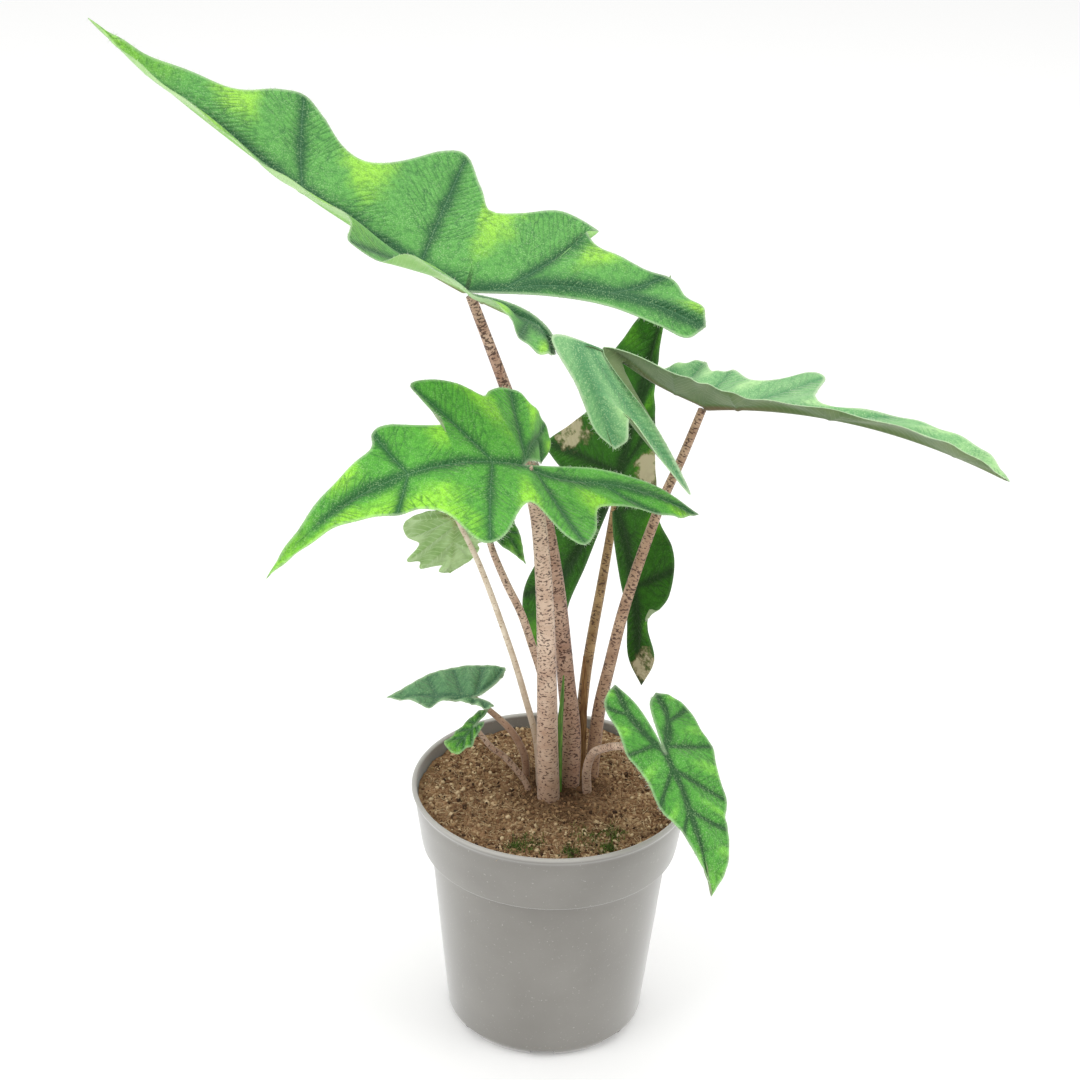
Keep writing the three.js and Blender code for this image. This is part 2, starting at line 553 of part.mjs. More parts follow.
        inner: [[-0.10, 0.06], [-0.25, 0.24]],
      },
    ],
    petiole: [[-11, 7, 95.3, 1.4], [-11, 7, 110, 1.6], [-12, 5, 124, 1.6], [-18, 2, 138, 1.5],
      [-27.3, 0.5, 148.4, 1.3], [-33.3, -3, 155, 1.2]],
  },
  lowest: {
    detail: SMALL,
    length: 15, heading: 215, pitch: -35, bend: 10, back: 0,
    fold: [0, 0], curl: 20,
    at: [-33, -9, 146.2], rib: 0.4, quilt: 0.02,
    halves: [
      {
        margin: [[1, 0], [0.95, 0.15], [0.89, 0.27], [0.75, 0.30], [0.62, 0.34], [0.49, 0.45],
          [0.30, 0.36], [0.10, 0.30], [-0.05, 0.26], [-0.15, 0.24], [-0.22, 0.20], [-0.25, 0.14]],
        costa: [[-0.08, 0.05], [-0.16, 0.09]],
        inner: [[-0.08, 0.01], [-0.18, 0.06]],
      },
      {
        margin: [[1, 0], [0.98, 0.20], [0.96, 0.40], [0.88, 0.57], [0.65, 0.42], [0.45, 0.45],
          [0.24, 0.37], [0.00, 0.40], [-0.20, 0.34], [-0.40, 0.34], [-0.50, 0.20], [-0.58, 0.06]],
        costa: [[-0.20, 0.08], [-0.40, 0.09]],
        inner: [[-0.20, 0.01], [-0.40, 0.00]],
      },
    ],
    petiole: [[-9, -3, 95.3, 1.2], [-9.5, -3, 110, 1.4], [-12, -3, 117, 1.3], [-20, -4, 128, 1.3],
      [-26, -6, 134.2, 1.2], [-32.5, -9, 144.7, 1]],
  },
  rim: {
    detail: SMALL,
    length: 61.5, heading: 300, pitch: -30, bend: 38, back: 5,
    fold: [-12, 12], curl: 10,
    at: [46, -42, 156], rib: 0.8, quilt: 0.012,
    halves: [
      {
        margin: [[1, 0], [0.90, 0.14], [0.78, 0.22], [0.62, 0.27], [0.52, 0.28], [0.42, 0.34],
          [0.20, 0.36], [0.00, 0.42], [-0.12, 0.40], [-0.32, 0.38], [-0.43, 0.30], [-0.47, 0.18]],
        costa: [[-0.14, 0.10], [-0.29, 0.18]],
        inner: [[-0.14, 0.02], [-0.38, 0.08]],
      },
      {
        margin: [[1, 0], [0.88, 0.00], [0.76, 0.04], [0.56, 0.11], [0.46, 0.17], [0.36, 0.23],
          [0.15, 0.25], [-0.03, 0.30], [-0.20, 0.28], [-0.41, 0.28], [-0.52, 0.20], [-0.57, 0.11]],
        costa: [[-0.20, 0.10], [-0.40, 0.13]],
        inner: [[-0.18, 0.00], [-0.40, 0.03]],
      },
    ],
    petiole: [[16, -3, 95.3, 1.7], [15.5, -4, 112, 2], [15, -7, 125, 1.9], [17, -12, 136, 1.8],
      [21, -19, 143, 1.7],
      [28, -28, 150, 1.6], [38, -37, 154.5, 1.4], [45, -41.5, 154.8, 1.3]],
  },
};

// A rolled new leaf between the two thick petioles, and a dry sheath behind them.
const NEW_LEAF = [[3.3, -3.5, 95.3, 1.2], [3.3, -3, 112, 1.4], [3, -0.5, 140, 1.2],
  [3.5, 2, 155, 0.8], [3.8, 3, 165, 0.3]];
const SHEATH = [[12.6, 6.5, 95.3, 1.4], [12.6, 7, 112, 1.6], [13, 11, 138, 1.5],
  [12.8, 14, 158, 1.1], [12.2, 15, 168, 0.4]];

// A blade sits a slip of air above its petiole, whose head is cut to the blade's underside.
const bores = [];
for (const [name, leaf] of Object.entries(LEAVES)) {
  const sheet = bladeSheet(leaf);
  const head = toSolid(thicken(sheet, CLEARANCE));
  addPiece(`blade_${name}`, thicken(sheet), LEAF_LOOK);
  const petiole = toSolid(taperedTube(leaf.petiole, 0)).subtract(head);
  addPiece(`petiole_${name}`, toGeometry(petiole), PETIOLE_LOOK);
  bores.push(taperedTube(leaf.petiole, CLEARANCE));
}
addPiece('new_leaf', taperedTube(NEW_LEAF, 0), LEAF_LOOK);
addPiece('sheath', taperedTube(SHEATH, 0, SHEATH_FLATNESS), SHEATH_LOOK);
bores.push(taperedTube(NEW_LEAF, CLEARANCE), taperedTube(SHEATH, CLEARANCE, SHEATH_FLATNESS));

// The soil takes the shape of the corm, with a plain hole for each stem.
const hollows = [corm(CLEARANCE), ...bores].map(toSolid);
const soil = hollows.reduce((block, hollow) => block.subtract(hollow), soilBlock());
addPiece('pot', pot(), POT_LOOK);
addPiece('corm', corm(0), CORM_LOOK);
addPiece('soil', toGeometry(soil), SOIL_LOOK);

export default plant;
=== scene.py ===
import bpy
import numpy as np
from mathutils import Matrix, Vector


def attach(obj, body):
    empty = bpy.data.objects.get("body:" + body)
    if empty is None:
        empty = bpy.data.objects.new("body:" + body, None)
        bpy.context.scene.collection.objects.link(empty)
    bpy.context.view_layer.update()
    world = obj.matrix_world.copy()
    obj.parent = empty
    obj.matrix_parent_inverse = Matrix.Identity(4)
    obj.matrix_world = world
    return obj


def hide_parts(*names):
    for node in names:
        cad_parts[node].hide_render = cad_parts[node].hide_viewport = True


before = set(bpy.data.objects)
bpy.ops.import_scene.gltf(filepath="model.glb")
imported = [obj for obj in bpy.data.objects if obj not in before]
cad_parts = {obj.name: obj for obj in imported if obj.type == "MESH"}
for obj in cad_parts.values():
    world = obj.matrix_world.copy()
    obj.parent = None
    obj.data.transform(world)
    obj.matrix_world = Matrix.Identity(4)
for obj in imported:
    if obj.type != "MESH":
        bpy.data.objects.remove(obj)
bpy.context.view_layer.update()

# The pot: a 12 cm grower's pot, injection moulded in one piece from taupe polypropylene. A gently
# tapered body carries a deep stepped collar with a rolled lip, and drain notches are left in the
# foot. Shapes are in millimetres until a mesh is made, and Object coordinates in metres.
WALL = 1.4
FLOOR_HEIGHT = 2
FOOT_RADIUS = 43.4
FOOT_ROUND = 5
BODY_TAPER = 0.1
STEP_HEIGHT = 86
COLLAR_FOOT_RADIUS = 55.3
COLLAR_TAPER = 4.7 / 28
COLLAR_ROUND = 1
COLLAR_DRAFT = 0.6
GROOVE_HEIGHT = 110.3
GROOVE_DEPTH = 0.72
LIP_HEIGHT = 112.9
LIP_RADIUS = 1.1
NOTCH_TOP = 3.5
NOTCH_BACK = 37.4
NOTCH_HALF_ANGLE = 7.3
NOTCH_PITCH = 45


def linear(code):
    """A hex sRGB colour as linear light: c / 12.92 when dark, else ((c + 0.055) / 1.055) ^ 2.4."""
    srgb = np.array([code >> 16 & 255, code >> 8 & 255, code & 255]) / 255
    light = np.where(srgb < 0.04045, srgb / 12.92, ((srgb + 0.055) / 1.055) ** 2.4)
    return (*light.tolist(), 1.0)


def node(material, kind, settings, *inputs, **named):
    """Adds a shader node. Values or sockets go to its inputs in order or by name. The settings may
    also name the output to give back, and the stops of a colour ramp."""
    made = material.node_tree.nodes.new("ShaderNode" + kind)
    settings = dict(settings)
    chosen = settings.pop("output", None)
    for stop, (place, colour) in enumerate(settings.pop("stops", [])):
        points = made.color_ramp.elements
        point = points[stop] if stop < len(points) else points.new(place)
        point.position, point.color = place, linear(colour)
    for key, value in settings.items():
        setattr(made, key, value)
    usable = [socket for socket in made.inputs if socket.enabled]
    by_name = [(made.inputs[key.replace("_", " ")], value) for key, value in named.items()]
    for socket, value in [*zip(usable, inputs), *by_name]:
        if isinstance(value, bpy.types.NodeSocket):
            material.node_tree.links.new(value, socket)
        else:
            socket.default_value = value
    return made.outputs[chosen] if chosen else next((s for s in made.outputs if s.enabled), None)


EASED = {"interpolation_type": "SMOOTHSTEP"}


def new_material(name):
    """An empty node material."""
    material = bpy.data.materials.new(name)
    material.use_nodes = True
    material.node_tree.nodes.clear()
    return material


def marked(material, mark, output="Fac"):
    """The values that a mesh keeps at its points under the name of that mark."""
    return node(material, "Attribute", {"attribute_name": mark, "output": output})


def noise(material, where, size, detail=2.0, **inputs):
    """Noise with features of that size, in the unit of the places where it is asked."""
    return node(material, "TexNoise", {}, Vector=where, Scale=1 / size, Detail=detail, **inputs)


def scaled(material, value, factor, plus=0.0):
    """value * factor + plus."""
    return node(material, "Math", {"operation": "MULTIPLY_ADD"}, value, factor, plus)


def layered(material, colour, *layers):
    """A colour with tints laid over it in turn, each as strongly as its mask says."""
    for mask, tint in layers:
        tint = linear(tint) if isinstance(tint, int) else tint
        colour = node(material, "Mix", {"data_type": "RGBA"}, mask, colour, tint)
    return colour


def surface(material, **inputs):
    """Ends a material in a principled surface with those inputs, and gives the material back."""
    node(material, "OutputMaterial", {}, node(material, "BsdfPrincipled", {}, **inputs))
    return material


def unit(vectors):
    """Vectors made 1 long."""
    return vectors / np.linalg.norm(vectors, axis=-1, keepdims=True)


def unshrunk(triangles):
    """Triangles less those with two corners in one point."""
    return triangles[(triangles != np.roll(triangles, 1, axis=1)).all(1)]


def grid_triangles(ids):
    """Two triangles for each cell of a grid of point numbers, less those shrunk to a line."""
    a, b, c, d = ids[:-1, :-1], ids[1:, :-1], ids[1:, 1:], ids[:-1, 1:]
    return unshrunk(np.stack([np.stack([a, b, c], -1), np.stack([a, c, d], -1)]).reshape(-1, 3))


def turned(grid):
    """A mesh from rows of points that stand round the axis and start and end on it."""
    ids = np.arange(grid[..., 0].size).reshape(grid.shape[:2])
    ids[:, 0], ids[:, -1] = ids[0, 0], ids[0, -1]
    return grid.reshape(-1, 3), grid_triangles(np.vstack([ids, ids[:1]]))


def piece(name, points, triangles, materials, stands_for, marks=None, slots=None, crease=40):
    """A smooth-shaded mesh from points in mm, riding on the plant, with values at its points."""
    mesh = bpy.data.meshes.new(name)
    mesh.from_pydata((np.asarray(points) * 0.001).tolist(), [], np.asarray(triangles).tolist())
    for mark, values in (marks or {}).items():
        values = np.asarray(values, float)
        kind, field = ("FLOAT", "value") if values.ndim == 1 else ("FLOAT_VECTOR", "vector")
        mesh.attributes.new(mark, kind, "POINT").data.foreach_set(field, values.ravel())
    for material in materials:
        mesh.materials.append(material)
    if slots is not None:
        mesh.polygons.foreach_set("material_index", np.asarray(slots, np.int32))
    mesh.shade_smooth()
    mesh.set_sharp_from_angle(angle=np.radians(crease))
    made = bpy.data.objects.new(name, mesh)
    bpy.context.scene.collection.objects.link(made)
    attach(made, "root")
    if stands_for:
        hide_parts(stands_for)


def arc(r, z, radius, start, end, steps):
    """Points on a circle about (r, z), from one angle to another in degrees."""
    angle = np.radians(np.linspace(start, end, steps + 1))
    return np.stack([r + radius * np.cos(angle), z + radius * np.sin(angle)], 1)


def body_radius(z):
    """Outside of the body, growing evenly from the rounded foot."""
    return FOOT_RADIUS + BODY_TAPER * (z - FOOT_ROUND)


def collar_radius(z):
    """Outside of the collar, growing evenly from the step."""
    return COLLAR_FOOT_RADIUS + COLLAR_TAPER * (z - STEP_HEIGHT)


def pot_profile():
    """Radius and height of the wall, from the middle of the base up the outside and down inside.
    The collar is drawn in evenly from its rounded foot up to the groove under the lip."""
    collar_foot = STEP_HEIGHT + COLLAR_ROUND
    draft = COLLAR_DRAFT / (GROOVE_HEIGHT - collar_foot)
    foot = arc(FOOT_RADIUS - FOOT_ROUND, FOOT_ROUND, FOOT_ROUND, -90, 0, 12)
    body = [[body_radius(z), z] for z in (9, 25, 45, 65, 80, 85.0)]
    corner = [[body_radius(85.8) + 0.15, 85.7], [body_radius(86) + 0.7, 86]]
    round_foot = arc(COLLAR_FOOT_RADIUS - COLLAR_ROUND, collar_foot, COLLAR_ROUND, -90, 0, 6)
    collar = [[collar_radius(z) - draft * (z - collar_foot), z] for z in (89, 96, 103, 109.6)]
    groove = [[collar_radius(GROOVE_HEIGHT) - GROOVE_DEPTH, GROOVE_HEIGHT], [59.2, 111.3]]
    lip = arc(58.9, LIP_HEIGHT, LIP_RADIUS, 0, 180, 14)
    inside = [*([collar_radius(z) - WALL, z] for z in (GROOVE_HEIGHT, 100, 88.8)),
              [body_radius(86) - WALL, 86], [body_radius(6) - WALL, 6],
              [38.1, FLOOR_HEIGHT], [0, FLOOR_HEIGHT]]
    return np.concatenate([[[0, 0], [18, 0], [NOTCH_BACK, 0]], foot, body, corner, round_foot,
                           collar, groove, lip, inside])


def pot_mesh():
    """The profile turned about the axis; between the edges of a notch the foot steps back."""
    plain = pot_profile()
    foot = (plain[:, 1] < NOTCH_TOP) & (np.arange(len(plain)) > 2) & (np.arange(len(plain)) < 16)
    along = np.linspace(0, 1, foot.sum())
    cut = plain.copy()
    cut[foot, 0] = np.interp(along, [0, 0.5, 1], [NOTCH_BACK, NOTCH_BACK, 43.2])
    cut[foot, 1] = np.interp(along, [0, 0.5, 1], [0, NOTCH_TOP, NOTCH_TOP])
    middles = np.arange(0, 360, NOTCH_PITCH)
    edges = [middles + s * (NOTCH_HALF_ANGLE + e) for s in (-1, 1) for e in (-0.03, 0.03)]
    degrees = np.unique(np.concatenate([np.arange(0, 360, 1.5), *edges]) % 360)
    off = np.abs((degrees + NOTCH_PITCH / 2) % NOTCH_PITCH - NOTCH_PITCH / 2)
    profiles = np.where((off < NOTCH_HALF_ANGLE)[:, None, None], cut, plain)
    angle = np.radians(degrees - 90)[:, None]
    r, z = profiles[..., 0], profiles[..., 1]
    return turned(np.stack([r * np.cos(angle), r * np.sin(angle), z], -1))


# Injection-moulded polypropylene: satin, faintly mottled, pale where it is scuffed, with a painted highlight
# along the top of the lip, and with a film of dust that lightens it where it turns away.
moulded_polypropylene = m = new_material("moulded_polypropylene")
spot = node(m, "TexCoord", {"output": "Object"})
cloud = noise(m, spot, 0.030, 4.0)
dust = noise(m, spot, 0.0012, 2.0, Roughness=0.6)
grain = noise(m, spot, 0.0005, 1.0)
plastic = node(m, "ValToRGB", {"stops": [(0.3, 0x7A7771), (0.7, 0x87847E)]}, cloud)
speck = node(m, "MapRange", {}, dust, 0.66, 0.76, 0.0, 0.45)
level = node(m, "SeparateXYZ", {"output": "Z"}, spot)
# Painted highlight: the plastic turns paler towards the top of the lip, above 112.4 mm.
lip = node(m, "MapRange", EASED, level, 0.1124, 0.1136, 0.0, 0.6)
plastic = layered(m, plastic, (speck, 0xC6C3BC), (lip, 0xC9C6C0))
satin = node(m, "MapRange", {}, cloud, 0.3, 0.7, 0.38, 0.5)
relief = node(m, "Bump", {}, Strength=0.25, Distance=0.00006, Height=grain)
surface(m, Base_Color=plastic, Roughness=satin, IOR=1.49, Sheen_Weight=1.0, Sheen_Roughness=0.42,
        Normal=relief)

pot_points, pot_triangles = pot_mesh()
piece("grower_pot", pot_points, pot_triangles, [moulded_polypropylene], "pot")

# The soil: fibrous peat potting soil, pressed in nearly flush with the rim.
# Loose crumbs, fibres and a little moss lie on it, each a small closed shape of its own.
SOIL_RADIUS = 57
SOIL_LEVEL = 110
CROWN = [4, -4]
STALK_FEET = [[8, 2], [-1, -9], [17.5, 8.5], [9.5, 12.5], [-5, 1.5], [0, 8], [-11, 7], [-9.5, -3], [15.5, -4]]
rng = np.random.default_rng(7)


def lumps(x, y, size, seed):
    """Random heights from -1 to 1 on a lattice size mm apart, eased from point to point."""
    lattice = np.random.default_rng(seed).uniform(-1, 1, (97, 97))
    u, v = x / size, y / size
    i, j = np.floor(u).astype(int), np.floor(v).astype(int)
    s, t = u - i, v - j
    s, t = s * s * (3 - 2 * s), t * t * (3 - 2 * t)
    low = lattice[i % 97, j % 97] * (1 - s) + lattice[(i + 1) % 97, j % 97] * s
    high = lattice[i % 97, (j + 1) % 97] * (1 - s) + lattice[(i + 1) % 97, (j + 1) % 97] * s
    return low * (1 - t) + high * t


def soil_height(x, y):
    """The soil's level, a bell-shaped mound at the stems and a small one round each foot, a dip at the
    back left, clods and crumble."""
    mound = 1.6 * np.exp(-((x - 3) ** 2 + (y - 1) ** 2) / (2 * 17 ** 2))
    mound += np.max([1.2 * np.exp(-((x - a) ** 2 + (y - b) ** 2) / (2 * 4 ** 2)) for a, b in STALK_FEET], 0)
    slide = np.clip((0.8 * y - 0.6 * x - 10) / 50, 0, 1)
    clods = 0.7 * np.sin(0.31 * x + 1.3 * np.sin(0.17 * y)) * np.sin(0.27 * y + 0.8)
    rough = sum(depth * lumps(x, y, size, seed) for seed, (size, depth) in enumerate(
        [(7, 0.5), (3.4, 0.5), (1.7, 0.4), (0.9, 0.25)]))
    return SOIL_LEVEL + mound - 2.5 * slide ** 2 * (3 - 2 * slide) + clods + rough


def soil_mesh():
    """Rings of the surface from the middle out, then the side and the base of the root ball."""
    open_rings = 84
    rings = np.concatenate([np.linspace(0, SOIL_RADIUS, open_rings), [54.3, 50, 49.6, 41.7, 37.8, 0]])
    levels = np.concatenate([np.zeros(open_rings), [98, 88.8, 80, 6.3, 2.3, 2.3]])
    angle = np.radians(np.arange(0, 360, 1.2))[:, None]
    x, y = rings * np.cos(angle), rings * np.sin(angle)
    z = np.where(np.arange(len(rings)) < open_rings, soil_height(x, y), levels)
    points, triangles = turned(np.stack([x, y, z], -1))
    return points, triangles[:, ::-1]


def scattered(count, inset):
    """Places spread evenly over the soil at its own height, less a border of that inset."""
    spread = np.sqrt(rng.random(count)) * (SOIL_RADIUS - inset)
    turn = rng.uniform(0, 2 * np.pi, count)
    x, y = spread * np.cos(turn), spread * np.sin(turn)
    return np.stack([x, y, soil_height(x, y)], 1)


def crumbs(count, smallest, largest):
    """Twenty-sided grains, each sheared by its own random matrix and sunk a little in the soil."""
    g = (1 + 5 ** 0.5) / 2
    ball = np.array([
        [-1, g, 0], [1, g, 0], [-1, -g, 0], [1, -g, 0], [0, -1, g], [0, 1, g],
        [0, -1, -g], [0, 1, -g], [g, 0, -1], [g, 0, 1], [-g, 0, -1], [-g, 0, 1]]) / (g * g + 1) ** 0.5
    sides = np.array([
        [0, 11, 5], [0, 5, 1], [0, 1, 7], [0, 7, 10], [0, 10, 11], [1, 5, 9], [5, 11, 4],
        [11, 10, 2], [10, 7, 6], [7, 1, 8], [3, 9, 4], [3, 4, 2], [3, 2, 6], [3, 6, 8], [3, 8, 9],
        [4, 9, 5], [2, 4, 11], [6, 2, 10], [8, 6, 7], [9, 8, 1]])
    shear = np.eye(3) + rng.uniform(-0.4, 0.4, (count, 3, 3))
    radius = smallest * (largest / smallest) ** (rng.random(count) ** 2.2) / 2
    centre = scattered(count, 1.5)
    centre[:, 2] += 0.35 * radius
    points = np.einsum("vi,nij->nvj", ball, shear) * radius[:, None, None] + centre[:, None]
    triangles = sides + len(ball) * np.arange(count)[:, None, None]
    return points.reshape(-1, 3), triangles.reshape(-1, 3), np.repeat(rng.random(count), len(ball))


def strands(start, way, bend, length, radius):
    """Three-sided threads that thin out: start + way * s + bend * s^2 / length, for s from 0 to
    the length."""
    rings, sides = 6, 3
    s = np.linspace(0, 1, rings)[:, None] * length[:, None, None]
    path = start[:, None] + way[:, None] * s + bend[:, None] * s ** 2 / length[:, None, None]
    ahead = unit(np.gradient(path, axis=1))
    across = unit(np.cross(ahead, [0.3, 0.2, 0.93]))
    third = np.cross(ahead, across)
    angle = np.radians(np.arange(0, 360, 360 / sides))[:, None]
    girth = radius[:, None, None, None] * np.linspace(1, 0.35, rings)[:, None, None]
    ring = np.cos(angle) * across[:, :, None] + np.sin(angle) * third[:, :, None]
    points = path[:, :, None] + girth * ring
    ids = np.arange(rings * sides).reshape(rings, sides)
    ends = [ids[0], ids[-1, [0, 2, 1]]]
    one = np.concatenate([grid_triangles(np.hstack([ids, ids[:, :1]]))[:, ::-1], ends])
    triangles = one + rings * sides * np.arange(len(start))[:, None, None]
    return points.reshape(-1, 3), triangles.reshape(-1, 3), np.repeat(rng.random(len(start)), rings * sides)


def painted_light_on_peat(points):
    """Painted light and shade on loose peat at points: 0.35 beside the stems, as painted shade, rising
    by 1 every 40 mm away from them and by 1 every 240 mm to the left, as painted light, and 1 at most."""
    away = np.hypot(points[:, 0] - CROWN[0], points[:, 1] - CROWN[1])
    return np.clip(0.3 + away / 40 - points[:, 0] / 240, 0.35, 1)


def toned(name, stops, roughness):
    """A dull material that gives each grain or thread the ramp's colour for its mark "tone"."""
    m = new_material(name)
    tone = marked(m, "tone")
    colour = node(m, "ValToRGB", {"stops": stops}, tone)
    return surface(m, Base_Color=colour, Roughness=roughness, Specular_IOR_Level=0.2)


# Peat: dull, from near-black humus to tan fibre, with painted shade darkening it round the stems
# under the leaves, and painted light making it paler towards the left.
fibrous_peat = m = new_material("fibrous_peat")
spot = node(m, "TexCoord", {"output": "Object"})
patch = noise(m, spot, 0.018, 3.0)
crumble = noise(m, spot, 0.0016, 5.0, Roughness=0.7)
mixed = scaled(m, patch, 0.5, crumble)
peat = node(m, "ValToRGB", {"stops": [
    (0.52, 0x3A2A1E), (0.64, 0x6E5138), (0.78, 0x98785A), (0.92, 0xC0A682)]}, mixed)
crown = [place / 1000 for place in (*CROWN, SOIL_LEVEL)]
crown = node(m, "VectorMath", {"operation": "DISTANCE", "output": "Value"}, spot, crown)
# Painted shade: darkest within 12 mm of the stems' crown, fading out by 34 mm.
painted_shade_round_stems = node(m, "MapRange", EASED, crown, 0.012, 0.034, 0.62, 0.0)
# Painted light: paler towards the left, up to 50 mm left of the middle.
side = node(m, "SeparateXYZ", {"output": "X"}, spot)
painted_light_left = node(m, "MapRange", {}, side, -0.05, 0.05, 0.22, 0.0)
peat = layered(m, peat, (painted_shade_round_stems, 0x33241B), (painted_light_left, 0xB08A62))
relief = node(m, "Bump", {}, Strength=0.8, Distance=0.0006, Height=crumble)
surface(m, Base_Color=peat, Roughness=0.95, Specular_IOR_Level=0.15, Normal=relief)

# Loose peat and coir: each crumb or fibre has one tone, from dark brown to straw, darkened by
# painted shade near the stems and paled by painted light towards the left.
loose_fibre = toned(
    "loose_coir_fibre", [(0.0, 0x3A2A1E), (0.3, 0x7A5A3F), (0.7, 0xA98A66), (1.0, 0xD8C29C)], 0.9)

# Cushion moss: short, soft and matt, fresh green, each thread in one tone from dark to pale.
cushion_moss = toned("cushion_moss", [(0.0, 0x34421E), (0.6, 0x4F6B2A), (1.0, 0x7D9A4A)], 0.85)

soil_points, soil_triangles = soil_mesh()
piece("peat_soil", soil_points, soil_triangles, [fibrous_peat], "soil", crease=80)
points, triangles, tone = crumbs(count=9000, smallest=0.4, largest=2.0)
# The crumbs' tone takes painted shade near the stems and painted light towards the left.
piece("soil_crumbs", points, triangles, [loose_fibre], None,
      {"tone": tone * painted_light_on_peat(points)}, crease=60)

# Coir fibres 2 to 6.5 mm long, arched up from the soil and down to it again.
count = 3600
start = scattered(count, 3)
start[:, 2] += 0.3
turn = rng.uniform(0, 2 * np.pi, count)
way = np.stack([np.cos(turn), np.sin(turn), rng.uniform(-0.05, 0.25, count)], 1)
bend = np.stack([-np.sin(turn), np.cos(turn), -0.4 * np.ones(count)], 1) * rng.uniform(-0.6, 0.6, (count, 1))
bend[:, 2] = -way[:, 2] - 0.05
length = rng.uniform(2, 6.5, count)
points, triangles, tone = strands(start, way, bend, length, rng.uniform(0.08, 0.2, count))
# The fibres' tone takes painted shade near the stems and painted light towards the left.
piece("coir_fibres", points, triangles, [loose_fibre], None,
      {"tone": (0.35 + 0.65 * tone) * painted_light_on_peat(points)})

# Patches of moss: x, y and reach of each, with threads 0.8 to 2 mm long.
MOSS_PATCHES = np.array([
    [-8, -43, 6.5], [-14, -46, 4], [16, -37, 9], [27, -33, 6], [24, -45, 4], [9, -49, 4]])
count = 1300
chosen = MOSS_PATCHES[rng.integers(0, len(MOSS_PATCHES), count)]
start = np.zeros((count, 3))
start[:, :2] = chosen[:, :2] + rng.normal(0, 0.45, (count, 2)) * chosen[:, 2:]
start[:, 2] = soil_height(start[:, 0], start[:, 1]) - 0.3
start = start[np.hypot(start[:, 0], start[:, 1]) < SOIL_RADIUS - 2]
count = len(start)
way = rng.normal(0, 0.5, (count, 3)) + [0, 0, 1]
bend = rng.normal(0, 0.3, (count, 3))
length = rng.uniform(0.8, 2.0, count)
points, triangles, tone = strands(start, way, bend, length, rng.uniform(0.1, 0.2, count))
piece("moss", points, triangles, [cushion_moss], None, {"tone": tone})

# The corm: the woody underground stem, buried in the soil, with a scaly brown bark.
scaly_bark = m = new_material("scaly_corm_bark")
spot = node(m, "TexCoord", {"output": "Object"})
stretched = node(m, "Mapping", {}, Vector=spot, Scale=(1, 1, 4))
scale_rings = noise(m, stretched, 0.008, 5.0)
bark = node(m, "ValToRGB", {"stops": [(0.35, 0x3B281C), (0.65, 0x6A4C36)]}, scale_rings)
relief = node(m, "Bump", {}, Strength=0.7, Distance=0.0008, Height=scale_rings)
surface(m, Base_Color=bark, Roughness=0.9, Specular_IOR_Level=0.2, Normal=relief)
for material_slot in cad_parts["corm"].material_slots:
    material_slot.material = scaly_bark

# The leaves: each stands on its own petiole, a round fleshy stalk from the corm to the back
# of the blade. The blade is a thin arrow-shaped sheet, lobed and quilted between its veins. Its
# rows run from tip (0) over the petiole (6) to the basal lobe's end (11), ribs on the odd ones.
TISSUE_THICKNESS = 0.5
VEIN_ROOTS = [[1], [0.82], [0.62], [0.42], [0.27], [0.12], [0], [-0.12], [-0.35], [-0.55], [-0.8], [-1]]
PETIOLE_ROW = 6
END_ROW = 11


def row_curve(rows, places):
    """Smooth curve through rows, at places counted in rows: the cubic that passes each row
    with half the step between its neighbours as its slope, ends continued straight."""
    p = np.asarray(rows, float)
    p = np.vstack([2 * p[0] - p[1], p, 2 * p[-1] - p[-2]])
    n = np.clip(np.floor(places).astype(int), 0, len(rows) - 2)
    w = (places - n)[:, None]
    a, b, c, d = p[n], p[n + 1], p[n + 2], p[n + 3]
    cubic = (3 * b - a - 3 * c + d) * w ** 3
    return 0.5 * (2 * b + (c - a) * w + (2 * a - 5 * b + 4 * c - d) * w ** 2 + cubic)


def lifted(rows):
    """Rows of two or three numbers as three, the missing lift being 0."""
    return np.array([(*row, 0.0)[:3] for row in rows])


def arc_end(length, start, turn):
    """End of an arc of that length which starts at an angle and turns down evenly: a chord of
    length * sin(h) / h at the angle start - h, where h is half of what it turns."""
    half = turn * length / 2
    chord = length * np.sinc(half / np.pi)
    return chord * np.cos(start - half), chord * np.sin(start - half)


def blade_place(leaf, side, a, r, lift):
    """Carries flat blade places to space: along the arched midrib by a, out at the fold by r
    with a curl down, and up by lift, all in fractions of the length. The midrib leaves "at"
    under the heading and pitch, turning by "bend" a length to the tip and "back" to the lobes."""
    length, pitch, heading = leaf["length"], np.radians(leaf["pitch"]), np.radians(leaf["heading"])
    turn = np.radians(np.where(a < 0, leaf["back"], leaf["bend"])) / length
    run, rise = arc_end(np.abs(a) * length, np.where(a < 0, -pitch, pitch), turn)
    slope = pitch - turn * a * length
    out, up = arc_end(r * length, np.radians(leaf["fold"][0 if side > 0 else 1]),
                      np.radians(leaf["curl"]) / length)
    height = up + lift * length
    forward = np.where(a < 0, -run, run) - height * np.sin(slope)
    x = leaf["at"][0] + forward * np.cos(heading) - side * out * np.sin(heading)
    y = leaf["at"][1] + forward * np.sin(heading) + side * out * np.cos(heading)
    return np.stack([x, y, leaf["at"][2] + rise + height * np.cos(slope)], -1)


def way_along(line):
    """How far each point of a broken line lies along it."""
    return np.cumsum(np.r_[0, np.linalg.norm(np.diff(line, axis=0), axis=1)])


